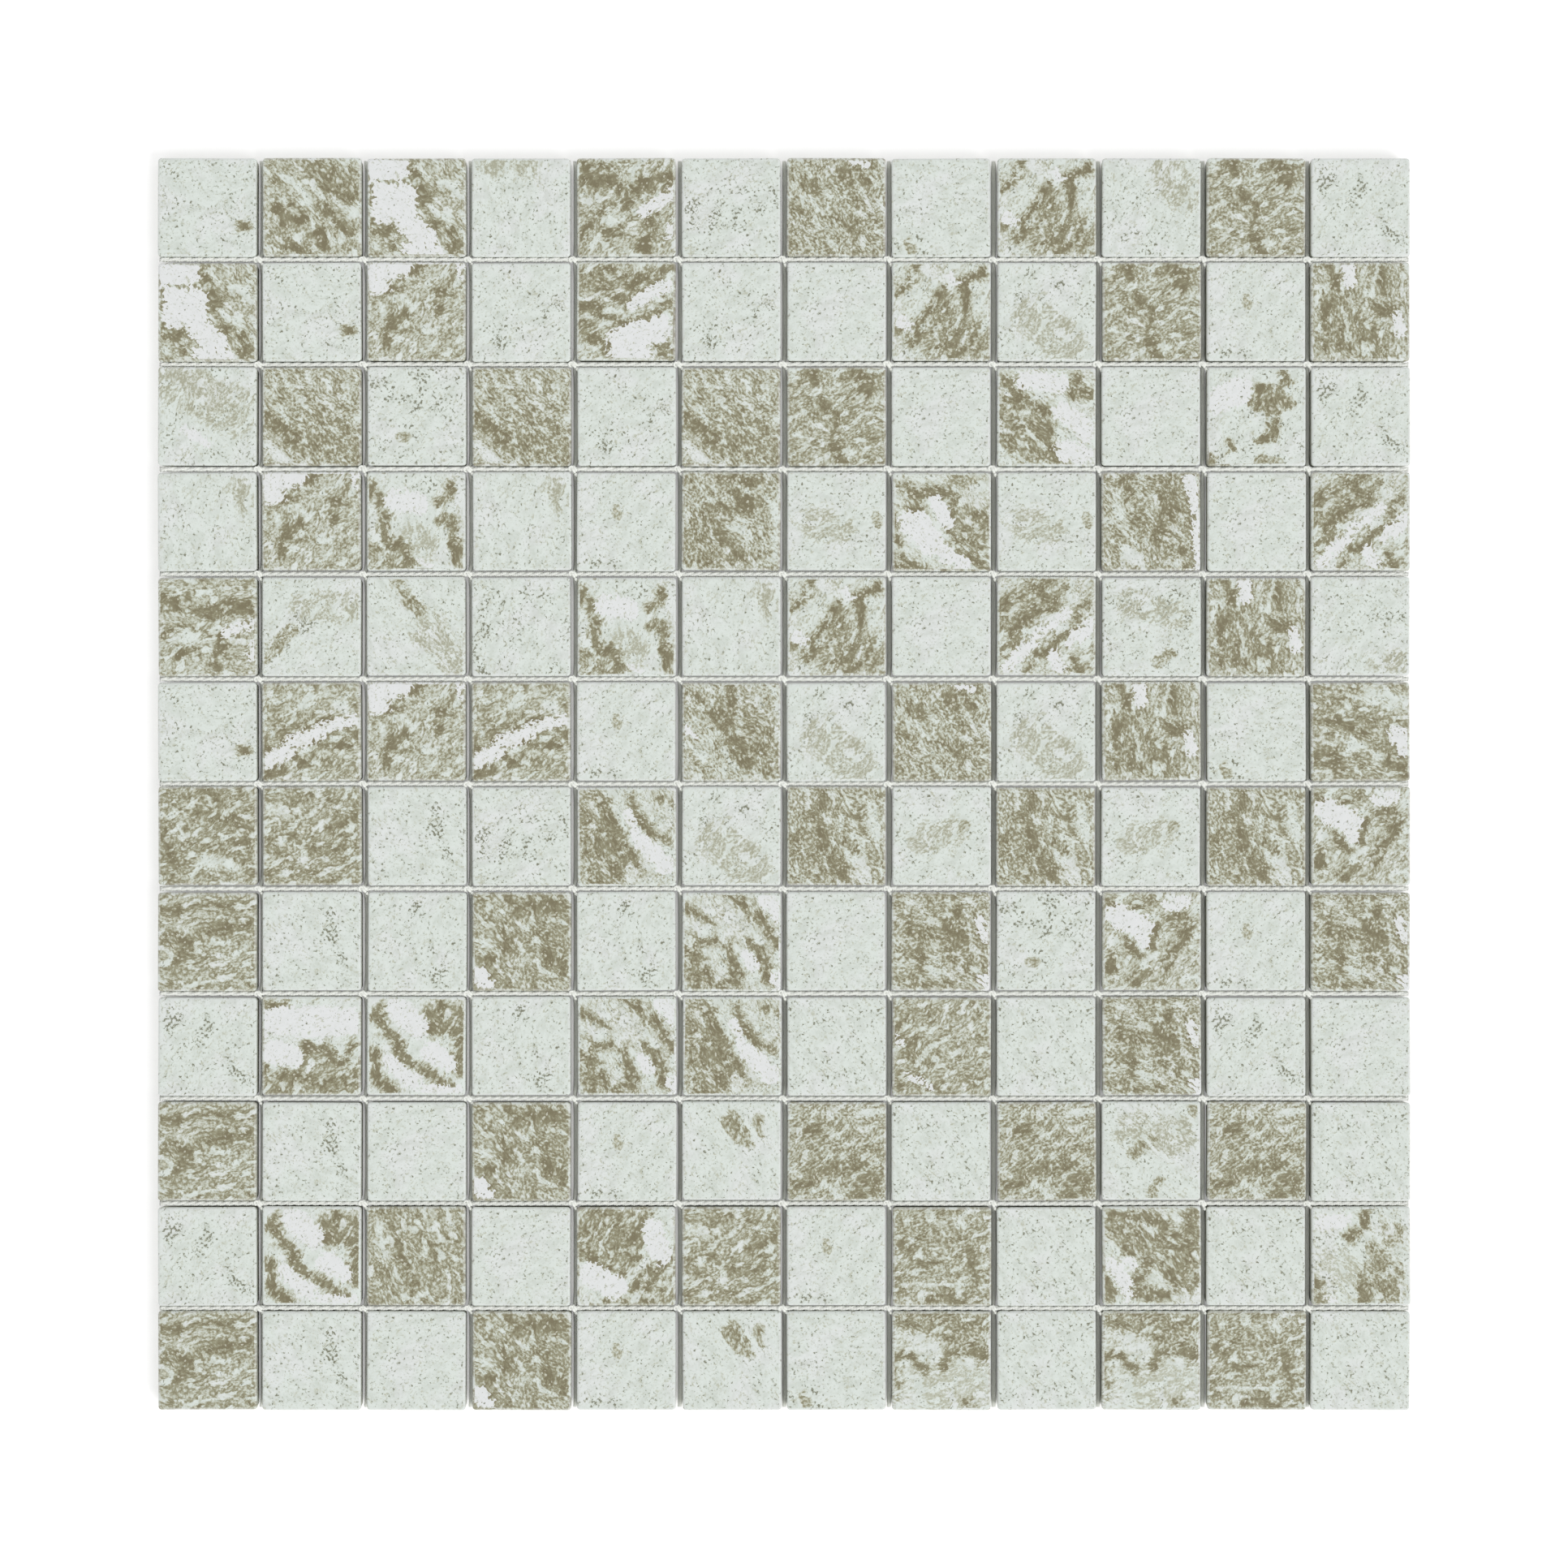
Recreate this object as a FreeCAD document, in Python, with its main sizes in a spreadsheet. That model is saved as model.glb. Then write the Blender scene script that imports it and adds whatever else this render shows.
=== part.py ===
import FreeCAD, Part
import Sketcher
import os

# Mosaic tile sheet: square tiles in straight rows, held by a knotted cord net in their joints.
# The origin is under the sheet's centre, on the plane of the tiles' backs. +Z is the printed
# face's side, +X runs along the rows and +Y up the columns. Lengths are in millimetres.

DIMENSIONS = [
    ("tile_side", 25.0, "side of one tile at its widest, just under the eased edge"),
    ("tile_thickness", 5.0, "back of a tile to its printed face"),
    ("joint_width", 1.5, "gap between neighbouring tiles at the face"),
    ("tiles_across", 12, "tiles in one row"),
    ("tiles_down", 12, "rows in the sheet"),
    ("side_draft", 3.0, "degrees that a tile's sides lean in towards its back"),
    ("corner_cut", 0.8, "leg of the cut on a tile's upright corners"),
    ("arris_cut", 0.6, "leg of the eased edge round the printed face"),
    ("cord_clearance", 0.1, "air between a cord and the tile on either side of it"),
    ("cord_depth", 1.6, "printed face down to the cords' centre lines"),
    ("cord_inset", 0.5, "how far the net's cut ends stand back from the sheet's edge"),
    ("strand_thickness", 0.6, "height of the flat strands low in the upright joints"),
    ("strand_lift", 0.1, "plane of the tiles' backs up to the strands"),
    ("knot_clearance", 0.15, "air between a knot and the cut corners round it"),
    ("knot_rise", 0.4, "how far a knot stands above the cord that it ties"),
    ("knot_cut", 0.3, "leg of the eased edge round a knot's top"),
]

PITCH = "(Dimensions.tile_side + Dimensions.joint_width)"
FACE_SIDE = "Dimensions.tile_side + 2 * Dimensions.arris_cut * tan(Dimensions.side_draft)"
CORD_WIDTH = "(Dimensions.joint_width - 2 * Dimensions.cord_clearance)"
CORD_HEIGHT = "(Dimensions.tile_thickness - Dimensions.cord_depth)"
CORD_SIDES = 6
KNOT_WIDTH = "(Dimensions.joint_width + Dimensions.corner_cut - 2 * Dimensions.knot_clearance)"
KNOT_TOP = f"({CORD_HEIGHT} + {CORD_WIDTH} / 2 * cos(180 / {CORD_SIDES}) + Dimensions.knot_rise)"
NEAR = 0.001


def centred(count, place):
    """Where the given place, counted from 0, lies in a row of this many, centred on the origin."""
    return f"({place} - (Dimensions.{count} - 1) / 2) * {PITCH}"


def net_length(count):
    """How far a cord runs past this many tiles, ending short of the sheet's edges."""
    return f"Dimensions.{count} * {PITCH} - Dimensions.joint_width - 2 * Dimensions.cord_inset"


def make_dimension_sheet(doc):
    sheet = doc.addObject("Spreadsheet::Sheet", "Dimensions")
    for line, (alias, value, meaning) in enumerate(DIMENSIONS, start=1):
        sheet.set(f"A{line}", alias)
        sheet.set(f"B{line}", str(value))
        sheet.setAlias(f"B{line}", alias)
        sheet.set(f"C{line}", meaning)
    doc.recompute()
    return sheet


def new_body(doc, label):
    body = doc.addObject("PartDesign::Body", label)
    body.Label = label
    return body


def origin_feature(body, role):
    return next(feature for feature in body.Origin.OriginFeatures if feature.Role == role)


def attach(feature, body, plane, **offsets):
    """Lay a feature on one of its body's origin planes, moved within and off that plane."""
    feature.AttachmentSupport = [(origin_feature(body, plane), "")]
    feature.MapMode = "FlatFace"
    for axis, expression in offsets.items():
        feature.setExpression(f"AttachmentOffset.Base.{axis}", expression)


def bind(feature, **sizes):
    for name, expression in sizes.items():
        feature.setExpression(name, expression)


def edges_where(shape, chosen):
    return [f"Edge{number}" for number, edge in enumerate(shape.Edges, start=1) if chosen(edge)]


def faces_where(shape, chosen):
    return [f"Face{number}" for number, face in enumerate(shape.Faces, start=1) if chosen(face)]


def chamfer(body, base, chosen, size):
    """Cut the chosen edges of the base feature's solid back by one spreadsheet size."""
    edges = edges_where(base.Shape, chosen)
    cut = body.newObject("PartDesign::Chamfer", "Chamfer")
    cut.Base = (base, edges)
    cut.setExpression("Size", f"Dimensions.{size}")
    body.Document.recompute()
    return cut


def line_pattern(body, name, axis, count):
    """Repeat along one of the body's axes at the pitch of the tiles."""
    pattern = body.newObject("PartDesign::LinearPattern", name)
    pattern.Direction = (origin_feature(body, axis), [""])
    pattern.Mode = "Spacing"
    bind(pattern, Offset=PITCH, Occurrences=count)
    return pattern


def square_sketch(body, name, width, **offsets):
    """A level square outline about the body's origin, or about the point that the offsets give."""
    sketch = body.newObject("Sketcher::SketchObject", name)
    attach(sketch, body, "XY_Plane", **offsets)
    half = 1.0
    corners = [
        FreeCAD.Vector(-half, -half),
        FreeCAD.Vector(half, -half),
        FreeCAD.Vector(half, half),
        FreeCAD.Vector(-half, half),
    ]
    for start, end in zip(corners, corners[1:] + corners[:1]):
        sketch.addGeometry(Part.LineSegment(start, end))
    for side in range(4):
        sketch.addConstraint(Sketcher.Constraint("Coincident", side, 2, (side + 1) % 4, 1))
    for side, direction in enumerate(("Horizontal", "Vertical", "Horizontal", "Vertical")):
        sketch.addConstraint(Sketcher.Constraint(direction, side))
    sketch.addConstraint(Sketcher.Constraint("Symmetric", 0, 1, 1, 2, -1, 1))
    sketch.addConstraint(Sketcher.Constraint("Equal", 0, 1))
    side_length = sketch.addConstraint(Sketcher.Constraint("DistanceX", 0, 1, 0, 2, 2 * half))
    sketch.renameConstraint(side_length, "side")
    sketch.setExpression("Constraints.side", width)
    return sketch


def make_tile_row(doc, sheet, row):
    """One row of loose tiles: pressed squares with leaning sides and an eased printed face."""
    body = new_body(doc, f"tile_row_{row + 1:02d}")
    outline = square_sketch(body, "Outline", FACE_SIDE)
    blank = body.newObject("PartDesign::Pad", "Blank")
    blank.Profile = outline
    blank.setExpression("Length", "Dimensions.tile_thickness")
    doc.recompute()

    thickness = float(sheet.get("tile_thickness"))
    pressed = body.newObject("PartDesign::Draft", "Pressed")
    pressed.Base = (blank, faces_where(blank.Shape, lambda face: face.BoundBox.ZLength > NEAR))
    pressed.NeutralPlane = (blank, faces_where(blank.Shape, lambda face: face.BoundBox.ZMin > NEAR))
    pressed.Reversed = True
    pressed.setExpression("Angle", "Dimensions.side_draft")
    doc.recompute()

    cut_corners = chamfer(
        body, pressed, lambda edge: edge.BoundBox.ZLength > thickness - NEAR, "corner_cut"
    )
    chamfer(body, cut_corners, lambda edge: edge.BoundBox.ZMin > thickness - NEAR, "arris_cut")
    row_of_tiles = line_pattern(body, "RowOfTiles", "X_Axis", "Dimensions.tiles_across")
    row_of_tiles.TransformMode = "Whole shape"
    body.Tip = row_of_tiles
    body.setExpression("Placement.Base.x", centred("tiles_across", 0))
    body.setExpression("Placement.Base.y", f"-{centred('tiles_down', row)}")
    return body


def make_knots(doc):
    """A knot at each crossing: a square post from the strand's underside to above the cord."""
    body = new_body(doc, "Knots")
    outline = square_sketch(
        body,
        "Outline",
        KNOT_WIDTH,
        x=centred("tiles_across", 0.5),
        y=centred("tiles_down", 0.5),
        z="Dimensions.strand_lift",
    )
    post = body.newObject("PartDesign::Pad", "Post")
    post.Profile = outline
    post.setExpression("Length", f"{KNOT_TOP} - Dimensions.strand_lift")
    doc.recompute()
    top = post.Shape.BoundBox.ZMax
    chamfer(body, post, lambda edge: edge.BoundBox.ZMin > top - NEAR, "knot_cut")

    grid = body.newObject("PartDesign::MultiTransform", "Grid")
    grid.TransformMode = "Whole shape"
    grid.Transformations = [
        line_pattern(body, "Across", "X_Axis", "Dimensions.tiles_across - 1"),
        line_pattern(body, "Down", "Y_Axis", "Dimensions.tiles_down - 1"),
    ]
    body.Tip = grid
    return body


def make_cords(doc):
    """The cords along the joints between rows, plain six-sided rods at this size."""
    body = new_body(doc, "Cords")
    cord = body.newObject("PartDesign::AdditivePrism", "Cord")
    cord.Polygon = CORD_SIDES
    length = net_length("tiles_across")
    attach(cord, body, "YZ_Plane", x=centred("tiles_down", 0.5), y=CORD_HEIGHT, z=f"-({length}) / 2")
    bind(cord, Circumradius=f"{CORD_WIDTH} / 2", Height=length)
    doc.recompute()
    rank = line_pattern(body, "Rank", "Y_Axis", "Dimensions.tiles_down - 1")
    rank.TransformMode = "Whole shape"
    body.Tip = rank
    return body


def make_strands(doc):
    """The strands that run up the columns, pressed flat in the bottom of their joints."""
    body = new_body(doc, "Strands")
    strand = body.newObject("PartDesign::AdditiveBox", "Strand")
    length = net_length("tiles_down")
    attach(
        strand,
        body,
        "XY_Plane",
        x=f"{centred('tiles_across', 0.5)} - {CORD_WIDTH} / 2",
        y=f"-({length}) / 2",
        z="Dimensions.strand_lift",
    )
    bind(strand, Length=CORD_WIDTH, Width=length, Height="Dimensions.strand_thickness")
    doc.recompute()
    rank = line_pattern(body, "Rank", "X_Axis", "Dimensions.tiles_across - 1")
    rank.TransformMode = "Whole shape"
    body.Tip = rank
    return body


def make_net(doc):
    """The net as one piece: its knots hold the cords and the strands that pass through them."""
    net = doc.addObject("Part::MultiFuse", "cord_net")
    net.Label = "cord_net"
    net.Shapes = [make_knots(doc), make_cords(doc), make_strands(doc)]
    net.Refine = True
    return net


def check(doc, pieces):
    """Stop if any object failed to compute or any piece has no sound solid."""
    for item in doc.Objects:
        if "Invalid" in item.State or "Error" in item.State:
            raise RuntimeError(f"{item.Label} failed: {item.State}")
    for piece in pieces:
        if piece.Shape.isNull() or not piece.Shape.isValid():
            raise RuntimeError(f"{piece.Label} has no valid shape")


def main():
    doc = FreeCAD.newDocument("mosaic_tile_sheet")
    sheet = make_dimension_sheet(doc)
    pieces = [make_tile_row(doc, sheet, row) for row in range(int(sheet.get("tiles_down")))]
    pieces.append(make_net(doc))
    doc.recompute()
    check(doc, pieces)

    os.makedirs("parts", exist_ok=True)
    for piece in pieces:
        shape = piece.Shape
        shape.exportStep(f"parts/{piece.Label}.step")
        print(piece.Label, len(shape.Solids), "solids", round(shape.Volume, 1), "mm3", shape.BoundBox)


main()
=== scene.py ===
import math
import random

import bmesh
import bpy
from mathutils import Matrix, Vector, noise


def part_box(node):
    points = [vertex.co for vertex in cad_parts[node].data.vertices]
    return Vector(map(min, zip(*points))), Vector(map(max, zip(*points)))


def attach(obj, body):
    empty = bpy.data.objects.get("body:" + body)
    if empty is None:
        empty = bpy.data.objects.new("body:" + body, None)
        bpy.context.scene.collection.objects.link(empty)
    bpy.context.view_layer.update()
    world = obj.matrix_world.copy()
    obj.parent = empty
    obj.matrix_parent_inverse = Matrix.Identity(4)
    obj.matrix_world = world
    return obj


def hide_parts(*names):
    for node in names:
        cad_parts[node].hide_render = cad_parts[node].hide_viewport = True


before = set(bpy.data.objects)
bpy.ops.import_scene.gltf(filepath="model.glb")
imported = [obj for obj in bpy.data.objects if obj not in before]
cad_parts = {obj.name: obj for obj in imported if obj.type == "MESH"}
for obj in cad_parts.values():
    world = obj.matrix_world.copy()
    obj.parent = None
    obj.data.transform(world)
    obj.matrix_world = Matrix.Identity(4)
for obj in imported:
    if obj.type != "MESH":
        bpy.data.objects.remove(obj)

bl_info = {
    "name": "Mosaic tile sheet",
    "version": (1, 0, 0),
    "blender": (4, 5, 0),
    "location": "View3D > Sidebar > Tile Sheet",
    "description": "Lays printed stone-look tiles, their cord net and a plain studio on the packed sheet",
    "category": "Add Mesh",
}

MM = 0.001
ROW_NODES = sorted(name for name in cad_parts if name.startswith("tile_row_"))
NET_NODE = "cord_net"
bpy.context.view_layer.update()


def middle(node):
    low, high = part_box(node)
    return (Vector(low) + Vector(high)) / 2


# Sizes that the frame gives: the rows' own boxes say how large a tile is and how far apart they lie.
ROW_LOW, ROW_HIGH = (Vector(corner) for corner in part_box(ROW_NODES[0]))
TILE_SIDE = ROW_HIGH.y - ROW_LOW.y
TILE_THICKNESS = ROW_HIGH.z - ROW_LOW.z
PITCH = middle(ROW_NODES[0]).y - middle(ROW_NODES[1]).y
JOINT = PITCH - TILE_SIDE
COLUMNS = round((ROW_HIGH.x - ROW_LOW.x + JOINT) / PITCH)
ROWS = len(ROW_NODES)
NET_LOW, NET_HIGH = (Vector(corner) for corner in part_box(NET_NODE))

# Sizes of the net that its box doesn't give.
CORD_HEIGHT = TILE_THICKNESS - 1.1 * MM
STRAND_HALF = 0.7 * MM
STRAND_HEIGHT = 0.4 * MM
STRAND_SHIFT = 0.27 * MM
NEAR = 0.01 * MM

# How the strokes of a print are laid on a tile, in halves of its side.
SWAY = 0.07
SOFT = 0.09
FAR = 0.5
DENSE = 0.72

MARKS = ("brown", "grit", "tan", "fleck", "ridge", "solid", "clear", "edge")


def design(flow, brown=0.0, fleck=0.4, grit=0.3, **strokes):
    """One print: which way it flows in degrees, its shares of brown, flecks and grit, and strokes."""
    return {"flow": flow, "brown": brown, "fleck": fleck, "grit": grit, "strokes": strokes}


# Strokes go from one point to another with a reach, in halves of a tile, seen from above with the
# top of the sheet at the top. Solid ones are brown lobes with a crisp edge, clear ones white with a
# lobed edge, brown ones more mottle, pale ones less, and ridge ones stand up a little.
DESIGNS = {
    "spot": design(20, fleck=0.5, solid=[(0.70, -0.34, 0.78, -0.36, 0.03)],
        brown_at=[(0.68, -0.34, 0.8, -0.36, 0.07)], fleck_at=[(0.1, -0.6, 0.4, -0.9, 0.2)]),
    "tan_top": design(75, tan=[(-0.7, 0.8, 0.2, 0.85, 0.22)]),
    "flecked_band": design(25, fleck=0.5, fleck_at=[(-0.6, -0.2, 0.8, 0.1, 0.35)]),
    "ridged_fleck": design(35, fleck_at=[(-0.45, -0.6, 0.75, 0.2, 0.1), (-0.4, -0.7, -0.3, -0.4, 0.15)],
        ridge=[(0.1, 0.15, 0.6, 0.6, 0.0)]),
    "tan_cloud": design(60, fleck=0.6, tan=[(-0.7, 0.7, 0.6, 0.1, 0.5)],
        clear=[(-0.45, -0.3, 0.0, -0.55, 0.08)]),
    "top_flecks": design(30, fleck=0.6, fleck_at=[(-0.6, 0.5, 0.9, 0.6, 0.4)],
        brown_at=[(-0.35, -0.42, -0.25, -0.42, 0.05)]),
    "low_flecks": design(10, fleck_at=[(-0.8, -0.6, -0.4, -0.85, 0.22)],
        brown_at=[(-0.62, -0.7, -0.56, -0.85, 0.06)]),
    "plain": design(15),
    "tan_right": design(60, fleck=0.5, tan=[(0.3, 0.7, 0.7, 0.25, 0.35)],
        fleck_at=[(-0.8, -0.2, 0.0, -0.9, 0.2)]),
    "tan_low": design(40, fleck=0.5, tan=[(-0.3, -0.1, 0.4, -0.7, 0.42)],
        fleck_at=[(-0.5, 0.5, 0.1, 0.65, 0.25)]),
    "cloudy": design(50, fleck_at=[(-0.6, 0.5, -0.1, 0.4, 0.3), (0.5, -0.6, 0.7, -0.8, 0.2)]),
    "tan_corner": design(80, tan=[(0.6, 0.7, 0.8, 0.4, 0.25)]),
    "few": design(45, fleck_at=[(-0.9, -0.7, -0.4, -0.85, 0.2)],
        brown_at=[(-0.22, 0.25, -0.18, 0.15, 0.05)]),
    "sage_cloud": design(20, fleck=0.5, tan=[(-0.5, -0.05, 0.1, -0.15, 0.3)],
        brown_at=[(0.82, 0.1, 0.88, -0.05, 0.05)]),
    "tan_slope": design(40, grit=0.8, tan=[(-0.1, 0.4, 0.8, 0.4, 0.32)],
        brown_at=[(-0.95, -0.6, -0.7, -0.4, 0.1), (-0.6, -0.25, -0.4, -0.1, 0.08)],
        fleck_at=[(-0.9, -0.6, -0.2, 0.1, 0.2)]),
    "tan_fall": design(-50, grit=0.8, tan=[(0.2, 0.0, 0.8, -0.8, 0.36)],
        brown_at=[(-0.4, 0.85, -0.3, 0.7, 0.12), (-0.2, 0.5, 0.05, 0.3, 0.1)]),
    "left_flecks": design(70, fleck=0.6, fleck_at=[(-0.6, 0.5, -0.8, -0.7, 0.25)]),
    "tan_band": design(25, fleck=0.6, grit=0.8, tan=[(-0.4, 0.5, 0.5, 0.2, 0.3)],
        brown_at=[(0.1, -0.75, 0.4, -0.55, 0.05)], fleck_at=[(-0.6, 0.8, 0.6, 0.4, 0.3)]),
    "fleck_fall": design(45, fleck=0.5, fleck_at=[(0.1, -0.1, 0.8, 0.2, 0.15)],
        tan=[(0.3, -0.7, 0.8, -0.7, 0.25)]),
    "right_flecks": design(-30, fleck_at=[(0.45, 0.4, 0.9, -0.3, 0.28)]),
    "two_flecks": design(60, fleck_at=[(-0.4, 0.85, 0.1, 0.65, 0.12), (0.2, -0.3, 0.5, -0.7, 0.25)]),
    "tan_heart": design(35, fleck=0.5, tan=[(-0.4, -0.1, 0.3, 0.1, 0.3)],
        brown_at=[(0.42, 0.25, 0.46, 0.18, 0.06)]),
    "ring_patch": design(-60, grit=0.4, brown_at=[(0.0, 0.62, 0.2, 0.35, 0.16),
        (0.58, 0.65, 0.6, 0.35, 0.05), (0.25, 0.25, 0.4, 0.08, 0.04)]),
    "scratch": design(-50, fleck=0.5, ridge=[(-0.35, 0.75, 0.15, -0.25, 0.0),
        (0.2, 0.1, 0.65, -0.35, 0.0)], fleck_at=[(0.1, -0.5, 0.3, -0.6, 0.12)]),
    "dense_patch": design(-50, 0.25, grit=0.25,
        solid=[(-0.7, -0.05, -0.25, -0.2, 0.15), (-0.55, -0.3, -0.65, -0.1, 0.13),
            (-0.5, -0.75, -0.1, -0.9, 0.09), (0.15, -0.5, 0.2, -0.85, 0.09),
            (0.2, 0.05, 0.4, -0.15, 0.08), (0.5, -0.3, 0.8, -0.5, 0.07),
            (0.05, 0.9, 0.2, 0.6, 0.05), (0.3, 0.4, 0.75, 0.15, 0.05)],
        brown_at=[(0.0, 0.85, 0.7, 0.4, 0.25)],
        pale=[(0.4, 0.2, 0.7, 0.0, 0.1), (-0.3, 0.4, 0.0, 0.1, 0.1), (0.92, 0.0, 0.95, -0.5, 0.1),
            (0.35, -0.7, 0.4, -0.75, 0.08)]),
    "dense_slope": design(40, 0.25, grit=0.35,
        solid=[(-0.8, 0.65, -0.4, 0.6, 0.2), (0.25, 0.4, 0.85, 0.5, 0.17),
            (-0.1, 0.3, 0.0, 0.05, 0.08), (-0.95, -0.6, -0.5, -0.1, 0.05),
            (0.3, -0.9, 0.55, -0.2, 0.11), (-0.45, -0.6, -0.1, -0.5, 0.06)],
        clear=[(0.35, -0.1, 1.0, 0.3, 0.1), (0.95, -0.3, 0.85, -0.6, 0.06)],
        pale=[(-0.5, -0.15, -0.2, -0.4, 0.16)]),
    "dense_fall": design(-40, 0.36, grit=0.75,
        solid=[(-0.9, 0.0, -0.3, -0.5, 0.11), (-0.3, -0.5, -0.1, -0.8, 0.08)],
        brown_at=[(0.0, -0.1, 0.7, -0.7, 0.4)],
        pale=[(-0.2, 0.0, -0.05, -0.15, 0.07), (-0.75, -0.7, -0.5, -0.95, 0.18)]),
    "dense_fine": design(-60, 0.5, grit=1.0,
        solid=[(0.1, 0.7, 0.6, 0.5, 0.07), (-0.45, 0.45, -0.4, 0.35, 0.08),
            (0.2, -0.35, 0.3, -0.45, 0.06)],
        brown_at=[(-0.9, 0.1, -0.7, -0.3, 0.14), (-0.3, 0.1, -0.2, -0.2, 0.06),
            (-0.7, -0.85, -0.6, -0.9, 0.12)],
        pale=[(-0.4, 0.6, -0.25, 0.2, 0.09), (-0.4, -0.1, -0.1, -0.5, 0.07),
            (0.85, 0.5, 0.95, 0.0, 0.1)],
        clear=[(0.25, 0.95, 0.6, 0.85, 0.06)]),
    "tan_vein": design(20, 0.42, grit=0.3,
        solid=[(-0.5, 0.85, -0.4, 0.65, 0.09), (0.45, 0.85, 0.6, 0.5, 0.11),
            (-0.35, 0.35, 0.0, -0.05, 0.04), (0.0, -0.05, 0.05, -0.4, 0.04),
            (-0.1, -0.45, 0.0, -0.8, 0.06), (0.0, -0.8, 0.15, -0.95, 0.05)],
        pale=[(-0.3, 0.6, 0.0, 0.55, 0.1), (0.8, 0.3, 0.9, 0.5, 0.1)]),
    "brown_fall": design(-50, 0.42, grit=0.9,
        solid=[(-0.3, 0.88, 0.4, 0.75, 0.07), (0.1, 0.5, 0.4, 0.3, 0.13),
            (-0.4, 0.3, 0.0, 0.25, 0.05), (-0.5, 0.1, 0.2, -0.7, 0.06)],
        brown_at=[(-0.6, -0.2, -0.1, -0.9, 0.4)],
        pale=[(0.1, -0.1, 0.4, -0.2, 0.12), (0.92, 0.3, 0.95, -0.8, 0.14)]),
    "level_swirl": design(12, 0.2, grit=0.1,
        solid=[(-0.9, 0.5, -0.5, 0.5, 0.15), (0.1, 0.3, 0.8, 0.42, 0.13),
            (0.3, -0.2, 0.2, -0.8, 0.09), (-0.6, -0.6, -0.2, -0.5, 0.06),
            (-0.2, 0.3, -0.05, 0.35, 0.06), (-0.95, -0.2, -0.4, 0.05, 0.03)],
        clear=[(0.35, -0.15, 0.95, 0.1, 0.09), (0.95, -0.3, 0.85, -0.6, 0.06)],
        pale=[(-0.6, -0.1, -0.3, -0.3, 0.18)]),
    "slant_band": design(-55, 0.16, fleck=0.8, grit=0.9,
        solid=[(-0.35, 0.4, 0.1, -0.3, 0.11), (-0.05, 0.85, -0.05, 0.6, 0.09),
            (0.15, -0.4, 0.35, -0.6, 0.09), (-0.85, 0.85, -0.6, 0.65, 0.03)],
        brown_at=[(-0.2, 0.7, 0.4, -0.6, 0.22), (0.4, 0.2, 0.7, -0.5, 0.35)],
        clear=[(-0.95, 0.05, -0.75, -0.1, 0.06)]),
    "ragged_right": design(-50, 0.42, grit=0.9,
        solid=[(0.3, 0.7, 0.45, 0.1, 0.13), (0.4, 0.2, 0.12, -0.35, 0.12),
            (-0.5, 0.85, -0.45, 0.65, 0.08), (0.7, -0.5, 0.65, -0.9, 0.05)],
        brown_at=[(-0.3, 0.2, 0.0, -0.1, 0.25)],
        clear=[(0.78, 0.85, 0.92, 0.2, 0.12), (0.97, 0.0, 0.95, -0.9, 0.09)],
        pale=[(-0.7, 0.3, -0.6, 0.1, 0.15), (-0.5, -0.6, -0.3, -0.8, 0.2)]),
    "sage_drift": design(-12, 0.5, grit=0.25,
        solid=[(-0.6, 0.3, -0.1, 0.02, 0.08), (-0.1, 0.05, 0.2, -0.1, 0.05),
            (-0.8, -0.5, -0.4, -0.7, 0.09), (0.55, -0.6, 0.9, -0.8, 0.1)],
        clear=[(0.75, -0.02, 0.85, -0.3, 0.17)],
        pale=[(0.2, 0.7, 0.8, 0.6, 0.25), (-0.4, -0.2, 0.1, -0.3, 0.12)]),
    "swirl": design(25, 0.5, grit=0.1,
        solid=[(0.0, 0.9, 0.2, 0.4, 0.05), (0.2, 0.4, 0.9, 0.1, 0.05),
            (-0.95, 0.0, -0.6, -0.6, 0.04), (0.4, -0.1, 0.9, -0.15, 0.03)],
        pale=[(-0.1, -0.5, 0.5, -0.6, 0.2)]),
    "level_dense": design(25, 0.52, grit=0.2,
        solid=[(0.3, 0.15, 0.9, 0.38, 0.04), (0.0, -0.3, 0.6, -0.2, 0.03)],
        pale=[(-0.9, 0.6, -0.5, 0.4, 0.14), (-0.3, -0.5, 0.0, -0.4, 0.08)]),
    "half_fall": design(-55, 0.08, fleck=0.6, grit=0.7,
        solid=[(-0.4, 0.4, -0.15, 0.0, 0.05), (-0.5, -0.1, -0.1, -0.2, 0.05),
            (-0.1, -0.2, 0.3, -0.7, 0.05), (-0.3, -0.7, -0.1, -0.5, 0.1),
            (0.1, 0.8, 0.2, 0.4, 0.03), (0.25, 0.4, 0.5, 0.1, 0.08),
            (0.5, 0.1, 0.95, -0.15, 0.03), (0.6, 0.8, 0.95, 0.6, 0.03)],
        brown_at=[(-0.7, 0.6, -0.5, -0.7, 0.4)],
        clear=[(0.0, 0.5, 0.2, 0.0, 0.09), (0.3, -0.1, 0.8, -0.6, 0.15)]),
    "veined_fall": design(-55, 0.42, grit=1.0,
        solid=[(-0.25, 0.9, -0.4, 0.35, 0.07), (-0.35, 0.25, -0.2, -0.05, 0.07),
            (-0.35, -0.2, -0.1, -0.25, 0.1), (-0.1, -0.5, 0.15, -0.8, 0.09),
            (0.3, 0.5, 0.55, 0.05, 0.03)],
        brown_at=[(-0.8, 0.0, -0.4, -0.7, 0.3), (0.1, 0.8, 0.2, 0.4, 0.12),
            (0.1, -0.1, 0.2, -0.6, 0.1)],
        pale=[(0.35, -0.5, 0.6, -0.9, 0.2), (0.7, 0.6, 0.8, 0.0, 0.18)]),
    "white_left": design(45, 0.12, grit=0.25,
        clear=[(-0.75, 0.5, -0.2, 0.3, 0.22), (-0.2, 0.1, -0.15, -0.05, 0.1),
            (0.3, 0.72, 0.7, 0.8, 0.1)],
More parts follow.
